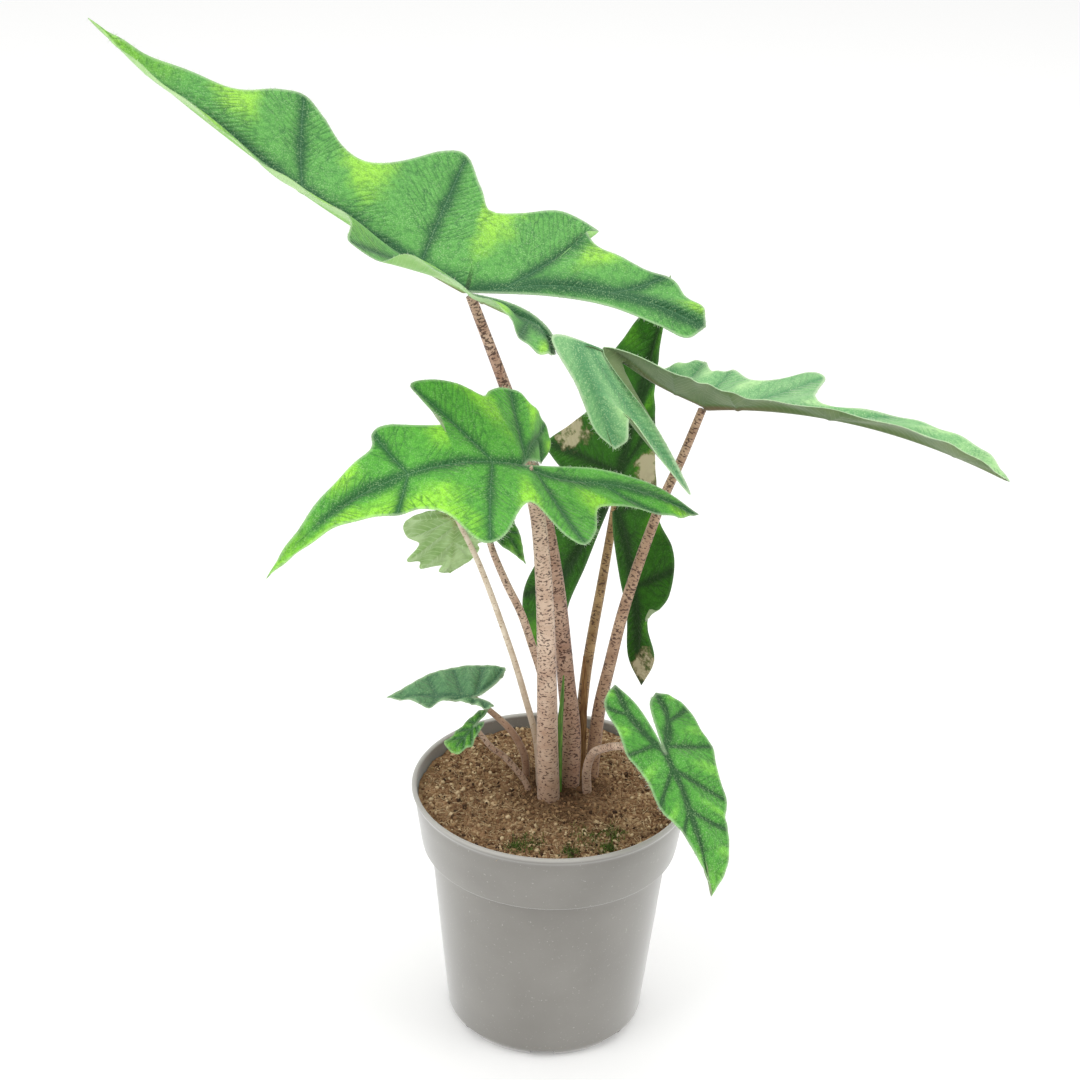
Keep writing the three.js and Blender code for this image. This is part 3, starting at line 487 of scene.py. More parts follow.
def nearest_line(points, lines):
    """Distance from points to the nearest of some broken lines, and the way along it: each point
    is dropped square on every straight piece, kept between that piece's ends."""
    start = np.concatenate([line[:-1] for line in lines])
    step = np.concatenate([np.diff(line, axis=0) for line in lines])
    size = np.maximum(np.linalg.norm(step, axis=1), 1e-9)
    before = np.concatenate([way_along(line)[:-1] for line in lines])
    offset = points[:, None] - start
    share = np.clip((offset * step).sum(2) / size ** 2, 0, 1)
    distance = np.linalg.norm(offset - share[..., None] * step, axis=2)
    best = distance.argmin(1)
    pick = np.arange(len(points))
    return distance[pick, best], before[best] + share[pick, best] * size[best]


def half_blade(leaf, side, steps, outward, inward):
    """One half of a blade as grids of flat places: rows run from the tip to the end of the basal
    lobe, and each is cut at shares of the way from its bone to the margin, or to the inner
    edge. Where a half has more margin rows than twelve, "between" gives the others' numbers.
    The tissue swells by cos(pi * row) * sin(pi * share), up in the bays, down at veins."""
    half = leaf["halves"][0 if side > 0 else 1]
    margin_rows = lifted(half["margin"])
    costa_rows = np.vstack([[0, 0, 0], lifted(half["costa"]), margin_rows[-1]])
    inner_rows = np.vstack([[0, 0, 0], lifted(half["inner"]), margin_rows[-1]])
    numbers = np.sort([*range(END_ROW + 1), *half.get("between", [])])
    part = np.linspace(0, 1, steps + 1)[:-1]
    dense = np.concatenate([n + (part ** 1.4 if n % 2 else 1 - (1 - part) ** 1.4) for n in range(END_ROW)])
    rows = np.append(dense, END_ROW)
    root = row_curve(VEIN_ROOTS, rows)[:, 0]
    midrib = np.stack([root, 0 * root, 0 * root], 1)
    costa = row_curve(costa_rows, np.maximum(-root, 0) * (len(costa_rows) - 1))
    bone = np.where((rows > PETIOLE_ROW)[:, None], costa, midrib)
    margin = row_curve(margin_rows, np.interp(rows, numbers, np.arange(len(margin_rows))))
    brink = row_curve(inner_rows, np.maximum(-root, 0) * (len(inner_rows) - 1))
    ends = np.clip(2 * np.minimum(rows, END_ROW - rows), 0, 1)
    outer = bone[:, None] + (margin - bone)[:, None] * outward[:, None]
    swell = leaf["quilt"] * ends * np.cos(np.pi * rows)
    outer[..., 2] += swell[:, None] * np.sin(np.pi * outward)
    ripple = np.sin(5.1 * rows + 2 * side) * np.sin(2.3 * rows + 0.7) * ends
    outer[..., 2] += 0.006 * ripple[:, None] * outward ** 3
    inner = (bone[:, None] + (brink - bone)[:, None] * inward[:, None])[rows >= PETIOLE_ROW]
    bones = [midrib[rows <= PETIOLE_ROW], costa[rows >= PETIOLE_ROW]]
    ribs = [outer[rows == n][0, outward < 0.96] for n in range(1, END_ROW, 2)]
    edges = [outer[:, -1], inner[:, -1]]
    # Bays ripen to lime along their middle lines, and so do the tip and, with the key "ripe",
    # the half's whole front part.
    bay = np.exp(-(((rows + 1) % 2 - 1) / 0.34) ** 2)[:, None] * np.clip(1.7 * outward - 0.3, 0, 1)
    front = np.clip((5.6 - rows) / 1.5, 0, 1)[:, None] * np.clip(1.5 * outward - 0.2, 0, 1)
    tip = np.clip(outer[..., 0] / 0.3 - 2.3, 0, 0.9)
    ripe = np.max([bay, half.get("ripe", 0) * front, tip], 0)
    return outer, inner, [bones, ribs, edges], ripe


def tissue_marks(leaf, side, flat, place, bones, ribs, edges):
    """Marks of the tissue at each place, from distances in mm: the nearest vein's gap, wider
    towards the tip where veins fade, and the way along it; "shade" beside veins as exp(-gap^1.2);
    "bone" where the midrib is tinted; "dry" at the withered patches; "calm" falling to 0 half
    way between two veins; and the gaps and taper that the ribs' relief needs."""
    bone_gap, bone_run = nearest_line(place, bones)
    rib_gap, rib_run = nearest_line(place, ribs)
    gaps = np.sort([bone_gap, *(nearest_line(place, [rib])[0] for rib in ribs)], 0)
    fade = np.clip((1 - flat[:, 0]) / 0.4, 0, 1)
    reach = np.hypot(*flat[:, :2].T)
    width = 1 + 0.022 * leaf["length"]
    beside_rib = 0.8 * np.exp(-(rib_gap / width / 0.8) ** 1.2)
    dry = np.zeros(len(flat))
    for x, y, size in leaf.get("dry", []):
        spread = np.hypot(flat[:, 0] - x, side * flat[:, 1] - y) / size
        dry = np.maximum(dry, np.clip(1.6 - spread, 0, 1))
    return {
        "vein": np.minimum(bone_gap, rib_gap) + 1.2 * (1 - fade),
        "run": np.where(bone_gap < rib_gap, bone_run, rib_run + 37.3),
        "shade": fade * np.maximum(np.exp(-(bone_gap / width) ** 1.2), beside_rib),
        "edge": nearest_line(place, edges)[0],
        "bone": np.clip(1.9 - bone_gap, 0, 1) * np.clip(1 - 3 * reach, 0.1, 0.8),
        "dry": dry,
        "calm": np.clip((gaps[1] - gaps[0]) / (0.04 * leaf["length"]) - 0.45, 0, 1),
        "bone_gap": bone_gap,
        "rib_gap": rib_gap,
        "taper": np.clip(1 - 0.8 * reach, 0.1, 1)}


def fringe(name, near, far, facing, count):
    """Clear hairs 0.5 to 1.4 mm long, standing out from edges that run from near to far, at
    random places, along edge x normal and swayed at random."""
    span = np.linalg.norm(far - near, axis=1)
    out = np.cross(far - near, facing) / span[:, None]
    chosen = rng.choice(len(near), count, p=span / span.sum())
    share = rng.random((count, 1))
    start = near[chosen] * (1 - share) + far[chosen] * share - 0.2 * facing[chosen] - 0.1 * out[chosen]
    way = out[chosen] + rng.normal(0, 0.35, (count, 3))
    bend = rng.normal(0, 0.2, (count, 3))
    length = rng.uniform(0.5, 1.4, count)
    points, triangles, _ = strands(start, way, bend, length, rng.uniform(0.04, 0.07, count))
    piece("hairs_" + name, points, triangles, [leaf_hair], None)


def blade(name, leaf, skins, steps, places, hairs=0):
    """The blade as a thin closed shell: both halves' grids, joined along the midrib, let down by
    the tissue's thickness and the ribs, with a wall round the edge, and with hairs on it."""
    outward = np.linspace(0, 1, places + 1) ** 1.35
    inward = np.linspace(0, 1, max(places // 3, 4) + 1)
    points, marks, faces, total = [], [], [], 0
    for side in (1, -1):
        outer, inner, lines, ripe = half_blade(leaf, side, steps, outward, inward)
        lines = [[blade_place(leaf, side, *line.T) for line in kind] for kind in lines]
        for grid, glow, forward in ((outer, ripe, side < 0), (inner, 0 * inner[..., 0], side > 0)):
            flat = grid.reshape(-1, 3)
            place = blade_place(leaf, side, *flat.T)
            cells = grid_triangles(total + np.arange(len(place)).reshape(grid.shape[:2]))
            total += len(place)
            faces.append(cells if forward else cells[:, ::-1])
            points.append(place)
            marks.append({"ripe": glow.ravel(), **tissue_marks(leaf, side, flat, place, *lines)})
    # Where the grids meet, points that fall together become one.
    points, faces = np.concatenate(points), np.concatenate(faces)
    _, first, same = np.unique(
        np.round(points + 0.00037, 3), axis=0, return_index=True, return_inverse=True)
    marks = {key: np.concatenate([grid[key] for grid in marks])[first] for key in marks[0]}
    points, faces = points[first], same.ravel()[faces]
    faces = unshrunk(faces)
    corner = points[faces]
    face_normal = np.cross(corner[:, 1] - corner[:, 0], corner[:, 2] - corner[:, 0])
    normal = np.zeros_like(points)
    for k in range(3):
        np.add.at(normal, faces[:, k], face_normal)
    normal = unit(normal)
    # Veins lie in grooves above and stand out as ribs below, both dying out at the margin.
    bone_gap, rib_gap, taper = (marks.pop(key) for key in ("bone_gap", "rib_gap", "taper"))
    valley = 0.35 * taper * np.exp(-(bone_gap / 0.8) ** 2) + 0.22 * np.exp(-(rib_gap / 0.7) ** 2)
    ridge = leaf["rib"] * taper * np.exp(-(bone_gap / 1.3) ** 2) + 0.5 * taper * np.exp(-(rib_gap / 0.8) ** 2)
    inland = np.clip(marks["edge"] / 1.5, 0, 1)
    upper = points - normal * (valley * inland)[:, None]
    lower = points - normal * (TISSUE_THICKNESS * (0.7 + 0.3 * inland) + ridge * inland)[:, None]
    edge = np.concatenate([faces[:, [0, 1]], faces[:, [1, 2]], faces[:, [2, 0]]])
    count = len(points)
    code, back = edge[:, 0] * count + edge[:, 1], edge[:, 1] * count + edge[:, 0]
    near, far = edge[~np.isin(code, back)].T
    wall = np.concatenate([
        np.stack([far, near, near + count], 1), np.stack([far, near + count, far + count], 1)])
    triangles = np.concatenate([faces, faces[:, ::-1] + count, wall])
    slots = np.repeat([0, 1, 0], [len(faces), len(faces), len(wall)])
    if hairs:
        fringe(name, upper[near], upper[far], normal[near], hairs)
    marks = {key: np.concatenate([values, values]) for key, values in {"tissue": points, **marks}.items()}
    piece("leaf_" + name, np.concatenate([upper, lower]), triangles, skins,
          "blade_" + name, marks, slots, crease=70)


def leaf_skin(name, dark, green, lime, ripeness, sheen, core=0x6F9C79):
    """Upper skin: green, dark along the veins and lime down the middle of the bays, with a net of
    fine dark veinlets that leave each vein at a slant, and pale flecks and a pale rim painted as
    the sheen of its hairs. A higher ripeness spreads the lime, more sheen strengthens both the
    sheen and the painted sheen, and the core is the veins' middle."""
    m = new_material(name)
    tissue = marked(m, "tissue", "Vector")
    vein, run, ripe, shade, edge, dry, calm = (
        marked(m, mark) for mark in ("vein", "run", "ripe", "shade", "edge", "dry", "calm"))
    blotch = noise(m, tissue, 9, 4.0, Roughness=0.6)
    yellow = scaled(m, blotch, 1.1, ripe)
    yellow = node(m, "MapRange", EASED, yellow, 0.75 - ripeness, 1.65 - ripeness, 0.0, 1.0)
    shadow = scaled(m, blotch, 0.7, shade)
    shadow = node(m, "MapRange", EASED, shadow, 0.45, 1.15, 0.0, 1.0)
    # Between the veinlets the tissue is finely mottled, with darker dots 1 to 2 mm across.
    mottle = noise(m, tissue, 2.4, 3.0, Roughness=0.6)
    mottle = node(m, "MapRange", {}, mottle, 0.36, 0.56, 0.4, 0.0)
    # The net of veinlets: meshes about 2.6 mm wide and three times as long, at a slant. It fades
    # half way between two veins, where their nets meet.
    slant = scaled(m, vein, -0.85, run)
    across = scaled(m, slant, 1 / 2.6)
    along = scaled(m, vein, 1 / 8)
    mesh = node(m, "CombineXYZ", {}, across, along, 0.0)
    wander = node(m, "TexNoise", {"output": "Color"}, Vector=tissue, Scale=1 / 4, Detail=1.0)
    mesh = node(m, "Mix", {"data_type": "VECTOR"}, 0.12, mesh, wander)
    pillow = node(m, "TexVoronoi", {
        "feature": "DISTANCE_TO_EDGE", "voronoi_dimensions": "2D", "output": "Distance"},
        Vector=mesh, Scale=1.0)
    line = node(m, "MapRange", EASED, pillow, 0.0, 0.15, 0.65, 0.0)
    faint = node(m, "MapRange", {}, blotch, 0.35, 0.65, 0.35, 1.0)
    faint = scaled(m, faint, calm)
    line = scaled(m, line, faint)
    rail = node(m, "MapRange", EASED, vein, 0.2, 1.0, 0.65, 0.0)
    middle = node(m, "MapRange", {}, vein, 0.1, 0.25, 0.3, 0.0)
    # Hairs stand about half a millimetre apart and show as fine pale flecks, painted as their sheen.
    hair = noise(m, tissue, 0.55, 1.0)
    painted_sheen_spread = noise(m, tissue, 14, 2.0)
    pits = node(m, "MapRange", {}, hair, 0.3, 0.48, 0.3, 0.0)
    painted_sheen_flecks = node(m, "MapRange", {}, hair, 0.54, 0.7, 0.0, 1.0)
    painted_sheen_spread = node(m, "MapRange", {}, painted_sheen_spread, 0.3, 0.7, 0.15 * sheen, 0.5 * sheen)
    painted_sheen_flecks = scaled(m, painted_sheen_flecks, painted_sheen_spread)
    # Painted sheen: a pale rim within 1.5 mm of the edge, where the hairs catch the light.
    silver = node(m, "MapRange", EASED, edge, 0.1, 1.5, 0.55 * sheen, 0.0)
    # Withered patches: brown at their ragged edges and straw within.
    ragged = noise(m, tissue, 5, 4.0, Roughness=0.65)
    withered = scaled(m, ragged, 2.2, dry)
    withered = node(m, "MapRange", {}, withered, 1.55, 2.0, 0.0, 1.0)
    straw = node(m, "ValToRGB", {"stops": [(0.0, 0x4A3E24), (0.5, 0x857A56), (1.0, 0xB6AD8C)]}, withered)
    colour = layered(
        m, linear(green), (yellow, lime), (shadow, dark), (mottle, dark), (line, dark), (rail, dark),
        (middle, core), (pits, dark), (painted_sheen_flecks, 0xC0E4A8), (silver, 0xC9E2B8), (withered, straw))
    swelling = node(m, "MapRange", {}, pillow, 0.0, 0.4, -0.6, 0.4)
    swelling = scaled(m, swelling, calm)
    bumps = scaled(m, hair, 0.5, swelling)
    relief = node(m, "Bump", {}, Strength=0.8, Distance=0.0005, Height=bumps)
    return surface(
        m, Base_Color=colour, Roughness=0.6, Specular_IOR_Level=0.22, Sheen_Weight=0.38 * sheen,
        Sheen_Roughness=0.35, Sheen_Tint=linear(0xE8F6D8), Normal=relief)


def leaf_back(name, pale, green, costa):
    """Underside: paler and matt, deeper green beside the veins, with their net paler still, and
    the bones near the petiole tinted."""
    m = new_material(name)
    tissue = marked(m, "tissue", "Vector")
    vein, run, shade, bone = (marked(m, mark) for mark in ("vein", "run", "shade", "bone"))
    blotch = noise(m, tissue, 9, 4.0)
    colour = node(m, "ValToRGB", {"stops": [(0.25, green), (0.7, pale)]}, blotch)
    shade = node(m, "MapRange", {}, shade, 0.3, 0.9, 0.0, 0.75)
    slant = scaled(m, vein, -0.85, run)
    wavy = node(m, "CombineXYZ", {}, slant, vein, 0.0)
    # A wave texture's bands lie 0.314 / Scale apart, here 2.7 mm.
    line = node(
        m, "TexWave", {}, Vector=wavy, Scale=0.314 / 2.7, Distortion=2.2, Detail=2.0, Detail_Scale=1.5)
    line = node(m, "MapRange", {}, line, 0.85, 1.0, 0.0, 0.6)
    colour = layered(m, colour, (shade, green), (line, pale), (bone, costa))
    relief = node(m, "Bump", {}, Strength=0.5, Distance=0.0003, Height=line)
    return surface(m, Base_Color=colour, Roughness=0.7, Specular_IOR_Level=0.3, Sheen_Weight=0.3,
                   Sheen_Roughness=0.5, Normal=relief)


def tube(rows, flatness=1, sides=24, steps=14):
    """A round tapering stalk through rows of x, y, z and radius, closed at both ends: rings across
    a smooth curve, with the way round and along kept as the mark "stem", in mm."""
    places = np.linspace(0, len(rows) - 1, steps * (len(rows) - 1) + 1)
    path = row_curve(rows, places)
    centre, radius = path[:, :3], path[:, 3:]
    ahead = unit(np.gradient(centre, axis=0))
    wide = unit([1, 0, 0] - ahead * ahead[:, :1])
    deep = np.cross(ahead, wide)
    angle = np.radians(np.arange(0, 360, 360 / sides))[:, None]
    across, along = radius[:, None] * np.cos(angle), radius[:, None] * np.sin(angle)
    points = centre[:, None] + wide[:, None] * across + deep[:, None] * along * flatness
    way = way_along(centre)
    ring_way = np.broadcast_to(way[:, None, None], across.shape)
    stem = np.concatenate([across, along, ring_way], 2).reshape(-1, 3)
    ids = np.arange(len(centre) * sides).reshape(-1, sides)
    ids = np.hstack([ids, ids[:, :1]])
    foot, head = np.full((1, sides + 1), ids.max() + 1), np.full((1, sides + 1), ids.max() + 2)
    points = np.vstack([points.reshape(-1, 3), centre[:1], centre[-1:]])
    stem = np.vstack([stem, [[0, 0, 0], [0, 0, way[-1]]]])
    return points, grid_triangles(np.vstack([foot, ids, head]))[:, ::-1], stem


def stalk_skin(name, flesh, shade, fleck, crowd):
    """Petiole skin: pinkish or cream flesh, browner towards the soil, under short dark flecks
    that lie across it, about 1 mm wide and half as high and closer together higher up, the more
    the higher the crowd, and a fine down of hairs."""
    m = new_material(name)
    stem = marked(m, "stem", "Vector")
    mottle = noise(m, stem, 6, 3.0)
    colour = node(m, "ValToRGB", {"stops": [(0.3, shade), (0.65, flesh)]}, mottle)
    height = node(m, "SeparateXYZ", {"output": "Z"}, stem)
    foot = node(m, "MapRange", EASED, height, 12.0, 95.0, 0.5, 0.0)
    squat = node(m, "Mapping", {}, Vector=stem, Scale=(1, 1, 1.9))
    marks = noise(m, squat, 1.35, 1.5, Distortion=0.3)
    marks = scaled(m, height, 0.0002, marks)
    marks = node(m, "MapRange", {}, marks, 0.63 - 0.1 * crowd, 0.7 - 0.1 * crowd, 0.0, 0.9)
    colour = layered(m, colour, (foot, 0x8A6448), (marks, fleck))
    down = noise(m, stem, 0.5, 1.0)
    relief = node(m, "Bump", {}, Strength=0.5, Distance=0.0002, Height=down)
    return surface(m, Base_Color=colour, Roughness=0.55, Specular_IOR_Level=0.35, Sheen_Weight=0.2,
                   Sheen_Roughness=0.5, Normal=relief)


def stalk(name, rows, skin):
    """A petiole, standing for the plain one of the same name."""
    points, triangles, stem = tube(rows)
    piece("stalk_" + name, points, triangles, [skin], "petiole_" + name, {"stem": stem})


# Leaf hairs: clear and colourless, so a fringe of them looks silvery against anything darker.
leaf_hair = m = new_material("leaf_hair")
strand = node(m, "TexCoord", {"output": "Object"})
glint = noise(m, strand, 0.004)
silver = node(m, "ValToRGB", {"stops": [(0.35, 0xC6DCB4), (0.65, 0xF0F8E8)]}, glint)
surface(m, Base_Color=silver, Roughness=0.4, IOR=1.5, Transmission_Weight=0.3)

# Leaf skins are living tissue under short hairs, so they look velvety: matt with a sheen, and with pale
# painted sheen.
velvet_green = leaf_skin("velvet_leaf_green", 0x2B6038, 0x69B156, 0x9FE04C, 0.1, 0.8)
pale_back = leaf_back("leaf_underside", 0xA2B48C, 0x7F9868, 0x87694A)
# The top leaf's underside is painted paler and greener as painted light, against the shade where its halves
# face down.
painted_light_back = leaf_back("leaf_underside_green_painted_light", 0xB4DC90, 0x8CC66A, 0x7A6A48)
pink_stalk = stalk_skin("flecked_petiole_pink", 0xD8BFA8, 0xB99881, 0x45291F, 0.65)

# The top leaf: the largest, held nearly level and pointing left, its halves folded up.
stalk("top", [
    [8, 1, 95.3, 3.6], [8, 2, 112, 4.2], [8, 6, 135, 4.1], [5, 13, 157, 3.8], [0, 20, 197, 3.2],
    [-7, 27, 231, 3], [-14.5, 31, 256, 2.8], [-24, 34, 282, 2.5], [-39, 35, 321.5, 2.1]],
    stalk_skin("flecked_petiole_brown", 0xC7A791, 0xA17B66, 0x43281F, 0.9))
blade("top", dict(
    length=187, heading=168, pitch=24, bend=-16, back=-12, fold=[27, 30], curl=12,
    at=[-40, 35, 323], rib=1.2, quilt=0.008,
    halves=[dict(
        ripe=0.6,
        between=[4.5, 5.5],
        margin=[[1, 0], [0.84, 0.05], [0.67, 0.07], [0.52, 0.09], [0.36, 0.11], [0.28, 0.18],
            [0.25, 0.26, -0.04], [0.18, 0.23, -0.04], [0.13, 0.18], [-0.01, 0.27], [-0.09, 0.2],
            [-0.16, 0.3, -0.04], [-0.22, 0.3, -0.05], [-0.24, 0.26, -0.04]],
        costa=[[-0.1, 0.09], [-0.18, 0.19]],
        inner=[[-0.08, 0.04, 0.02], [-0.15, 0.13, 0.02], [-0.21, 0.22]],
    ), dict(
        between=[2.7, 3.3, 4.7, 5.3, 6.3, 6.7, 7.3, 9.5],
        margin=[[1, 0], [0.86, 0.03], [0.67, 0.12], [0.6, 0.19], [0.55, 0.21], [0.48, 0.19],
            [0.35, 0.16], [0.23, 0.3], [0.17, 0.33], [0.11, 0.28], [0.06, 0.23], [-0.01, 0.27],
            [-0.09, 0.33], [-0.18, 0.33], [-0.16, 0.3], [-0.22, 0.28], [-0.37, 0.29], [-0.43, 0.26],
            [-0.48, 0.24], [-0.5, 0.2]],
        costa=[[-0.13, 0.11], [-0.25, 0.17], [-0.37, 0.2]],
        inner=[[-0.15, 0.09], [-0.28, 0.14], [-0.4, 0.15], [-0.47, 0.15]],
    )]), [velvet_green, painted_light_back], steps=16, places=28, hairs=1500)

# The left leaf: its midrib arches over and its tip hangs down to the left, on the thickest stalk.
stalk("left", [
    [-1, -9, 95.3, 4.4], [-1, -9, 113, 4.8], [-2, -9, 135, 4.6], [-3, -9, 165, 4.2],
    [-5, -10, 206, 3.6], [-8.5, -11, 243, 3.1], [-14.1, -12, 267, 2.8]], pink_stalk)
blade("left", dict(
    length=120, heading=206, pitch=20, bend=71, back=-8, fold=[-17, 30], curl=12,
    at=[-14.6, -12, 268.5], rib=1.5, quilt=0.008,
    halves=[dict(
        ripe=0.8,
        between=[4.7, 5.3, 6.7, 7.3],
        margin=[[1, 0], [0.86, 0.03], [0.69, 0.07], [0.53, 0.14], [0.4, 0.19], [0.33, 0.33],
            [0.28, 0.37], [0.2, 0.34], [0.05, 0.2], [-0.05, 0.34], [-0.11, 0.36], [-0.18, 0.28],
            [-0.25, 0.15], [-0.46, 0.18, 0.02], [-0.56, 0.18, 0.02], [-0.62, 0.16, 0.02]],
        costa=[[-0.12, 0.04], [-0.38, 0.06, 0.02]],
        inner=[[-0.1, -0.02], [-0.3, -0.02, 0.02], [-0.5, 0.03, 0.02]],
    ), dict(
        between=[2.7, 3.3, 4.3, 5.3, 5.7, 6.3],
        margin=[[1, 0], [0.82, 0.03], [0.61, 0.1], [0.49, 0.14], [0.46, 0.19], [0.4, 0.2],
            [0.25, 0.16], [0.26, 0.23], [0.29, 0.34], [0.23, 0.36], [0.15, 0.33], [0.08, 0.29],
            [0.05, 0.32], [-0.03, 0.35], [-0.12, 0.31, -0.02], [-0.21, 0.35, -0.1],
            [-0.26, 0.35, -0.18], [-0.22, 0.3, -0.21]],
        costa=[[-0.05, 0.1, -0.02], [-0.14, 0.23, -0.08]],
        inner=[[-0.04, 0.05, -0.02], [-0.13, 0.16, -0.1]],
    )]), [leaf_skin("velvet_leaf_lime", 0x2A6630, 0x60B440, 0x9FEB42, 0.1, 0.7), pale_back],
    steps=16, places=28, hairs=1100)

# The right leaf: seen almost edge on, so its hairs catch the light, and its skin is painted pale and silvery
# as that sheen; its near lobes hang down.
stalk("right", [
    [17, 8, 95.3, 2.6], [17.5, 8.5, 112, 2.9], [18, 9, 124, 2.9], [19.5, 8.5, 146, 2.8],
    [23, 8, 167.5, 2.6], [29, 7, 200, 2.4], [40, 12, 238, 2.1], [49, 13, 263, 1.9],
    [55.8, 12, 284.5, 1.7]], stalk_skin("flecked_petiole_beige", 0xBE9E82, 0x9A785E, 0x45291F, 0.75))
blade("right", dict(
    length=130, heading=333, pitch=15, bend=32, back=-20, fold=[8, 45], curl=10,
    at=[56, 12, 286], rib=1.4, quilt=0.008,
    halves=[dict(
        between=[4.3, 4.7, 5.3],
        margin=[[1, 0], [0.9, 0.08], [0.76, 0.1], [0.6, 0.1], [0.4, 0.06], [0.34, 0.09], [0.32, 0.16],
            [0.31, 0.24], [0.24, 0.26], [0.12, 0.17], [0.01, 0.22, 0.02], [-0.06, 0.22, 0.02],
            [-0.13, 0.3, 0.02], [-0.2, 0.29, 0.02], [-0.26, 0.24, 0.01]],
        costa=[[-0.08, 0.1, 0.01], [-0.16, 0.18, 0.01]],
        inner=[[-0.09, 0.08], [-0.17, 0.16]],
    ), dict(
        between=[8.5, 9.5, 10.5],
        margin=[[1, 0], [0.86, 0.06], [0.72, 0.08], [0.48, 0.05], [0.24, 0.06], [0.13, 0.1],
            [0.07, 0.17], [0.02, 0.25], [-0.16, 0.39, 0.02], [-0.02, 0.4, -0.22], [0.08, 0.43, -0.46],
            [0.02, 0.48, -0.37], [-0.04, 0.52, -0.26], [-0.08, 0.49, -0.31], [-0.1, 0.55, -0.36]],
        costa=[[-0.08, 0.15, 0.01], [-0.13, 0.31, 0.02], [-0.2, 0.47], [-0.14, 0.53, -0.18]],
        inner=[[-0.09, 0.16, 0.02], [-0.17, 0.35, 0.03], [-0.26, 0.56, -0.01], [-0.2, 0.55, -0.16],
            [-0.18, 0.51, -0.28]],
    )]), [leaf_skin("velvet_leaf_painted_sheen", 0x5C9864, 0x88C080, 0xB6E49C, 0.02, 1.3),
          # Its underside is painted darker olive as the shade under its hanging lobes.
          leaf_back("leaf_underside_olive_painted_shade", 0x6A7E4E, 0x4E6A38, 0x6E5540)],
    steps=16, places=28, hairs=1300)

# The back leaf: hangs behind the stems in the shade, old, its deep green painted darker as that shade, with
# dried patches.
stalk("back", [
    [9, 11.5, 95.3, 2.4], [9.5, 12.5, 112, 2.6], [12, 17, 138, 2.4], [13.5, 22, 156, 2.3],
    [16, 29, 174, 2.2], [18.5, 34, 190, 2.1], [21.5, 39, 212, 1.9], [23.5, 42, 227.5, 1.8]],
    stalk_skin("flecked_petiole_ochre", 0xAE9064, 0x86683F, 0x4A3020, 0.6))
blade("back", dict(
    length=98, heading=60, pitch=62, bend=-4, back=40, fold=[-4, 12], curl=10,
    at=[22, 43, 229], rib=1.2, quilt=0.008,
    dry=[[0.24, 0.29, 0.08], [0.17, -0.16, 0.08], [-0.82, 0.22, 0.06], [-0.66, -0.33, 0.08]],
    halves=[dict(
        between=[4.5, 5.3, 10.3, 10.7],
        margin=[[1, 0], [0.88, 0.06], [0.72, 0.14], [0.53, 0.23], [0.38, 0.22], [0.28, 0.3],
            [0.17, 0.41], [0.11, 0.36], [-0.04, 0.14], [-0.16, 0.28], [-0.32, 0.3], [-0.55, 0.37],
            [-0.72, 0.32], [-0.8, 0.25], [-0.82, 0.15], [-0.75, 0.08]],
        costa=[[-0.23, 0.1], [-0.51, 0.19]],
        inner=[[-0.12, 0.02], [-0.32, 0.06], [-0.53, 0.12], [-0.66, 0.1]],
    ), dict(
        between=[8.7, 9.3, 9.7, 10.3, 10.7],
        margin=[[1, 0], [0.88, 0.02], [0.74, 0.03], [0.6, 0.05], [0.49, 0.07], [0.38, 0.11],
            [0.25, 0.15], [0.12, 0.2], [-0.02, 0.26], [-0.12, 0.36], [-0.21, 0.4], [-0.32, 0.4],
            [-0.39, 0.36], [-0.4, 0.32], [-0.49, 0.32], [-0.61, 0.37], [-0.75, 0.31]],
        costa=[[-0.18, 0.14], [-0.43, 0.25]],
        inner=[[-0.14, 0.05], [-0.31, 0.13], [-0.46, 0.2], [-0.64, 0.23]],
    # Painted shade: this skin's greens are darker for the leaf that hangs in the shade.
    )]), [leaf_skin("old_leaf_green_painted_shade", 0x173C0A, 0x2E6C0A, 0x529812, 0.0, 0.15, 0x234A18),
          pale_back], steps=12, places=22)

# Two small leaves under the left leaf: a torn one with its pale back out, and a green one.
stalk("torn", [
    [-5, 1, 95.3, 1.3], [-5, 1.5, 112, 1.5], [-7, 3, 133, 1.4], [-11.8, 2, 153, 1.4],
    [-18.8, -1, 179, 1.3], [-31.4, -5, 218, 1.2], [-41.5, -8, 242, 1]],
    stalk_skin("petiole_cream", 0xE6D8C2, 0xCDBAA0, 0x9A7C5A, 0.1))
torn_back = leaf_back("torn_leaf_underside", 0xBCDA9E, 0x76A04E, 0x8F9A5C)
blade("torn", dict(
    length=37, heading=100, pitch=-60, bend=10, back=0, fold=[-10, 0], curl=20,
    at=[-42, -8, 243], rib=0.5, quilt=0.02,
    halves=[dict(
        margin=[[1, 0], [0.93, 0.14], [0.84, 0.1], [0.8, 0.36], [0.68, 0.38], [0.58, 0.54],
            [0.36, 0.4], [0.15, 0.55], [-0.1, 0.62], [-0.22, 0.54], [-0.24, 0.38], [-0.2, 0.22]],
        costa=[[-0.04, 0.07], [-0.08, 0.14]],
        inner=[[-0.05, 0.04], [-0.1, 0.12]],
    ), dict(
        margin=[[1, 0], [0.9, 0.1], [0.78, 0.22], [0.6, 0.3], [0.5, 0.28], [0.4, 0.38], [0.28, 0.33],
            [0.1, 0.4], [0, 0.3], [-0.08, 0.28], [-0.12, 0.2], [-0.13, 0.12]],
        costa=[[-0.04, 0.04], [-0.09, 0.08]],
        inner=[[-0.05, 0.01], [-0.1, 0.05]],
    )]), [torn_back, torn_back], steps=8, places=12)

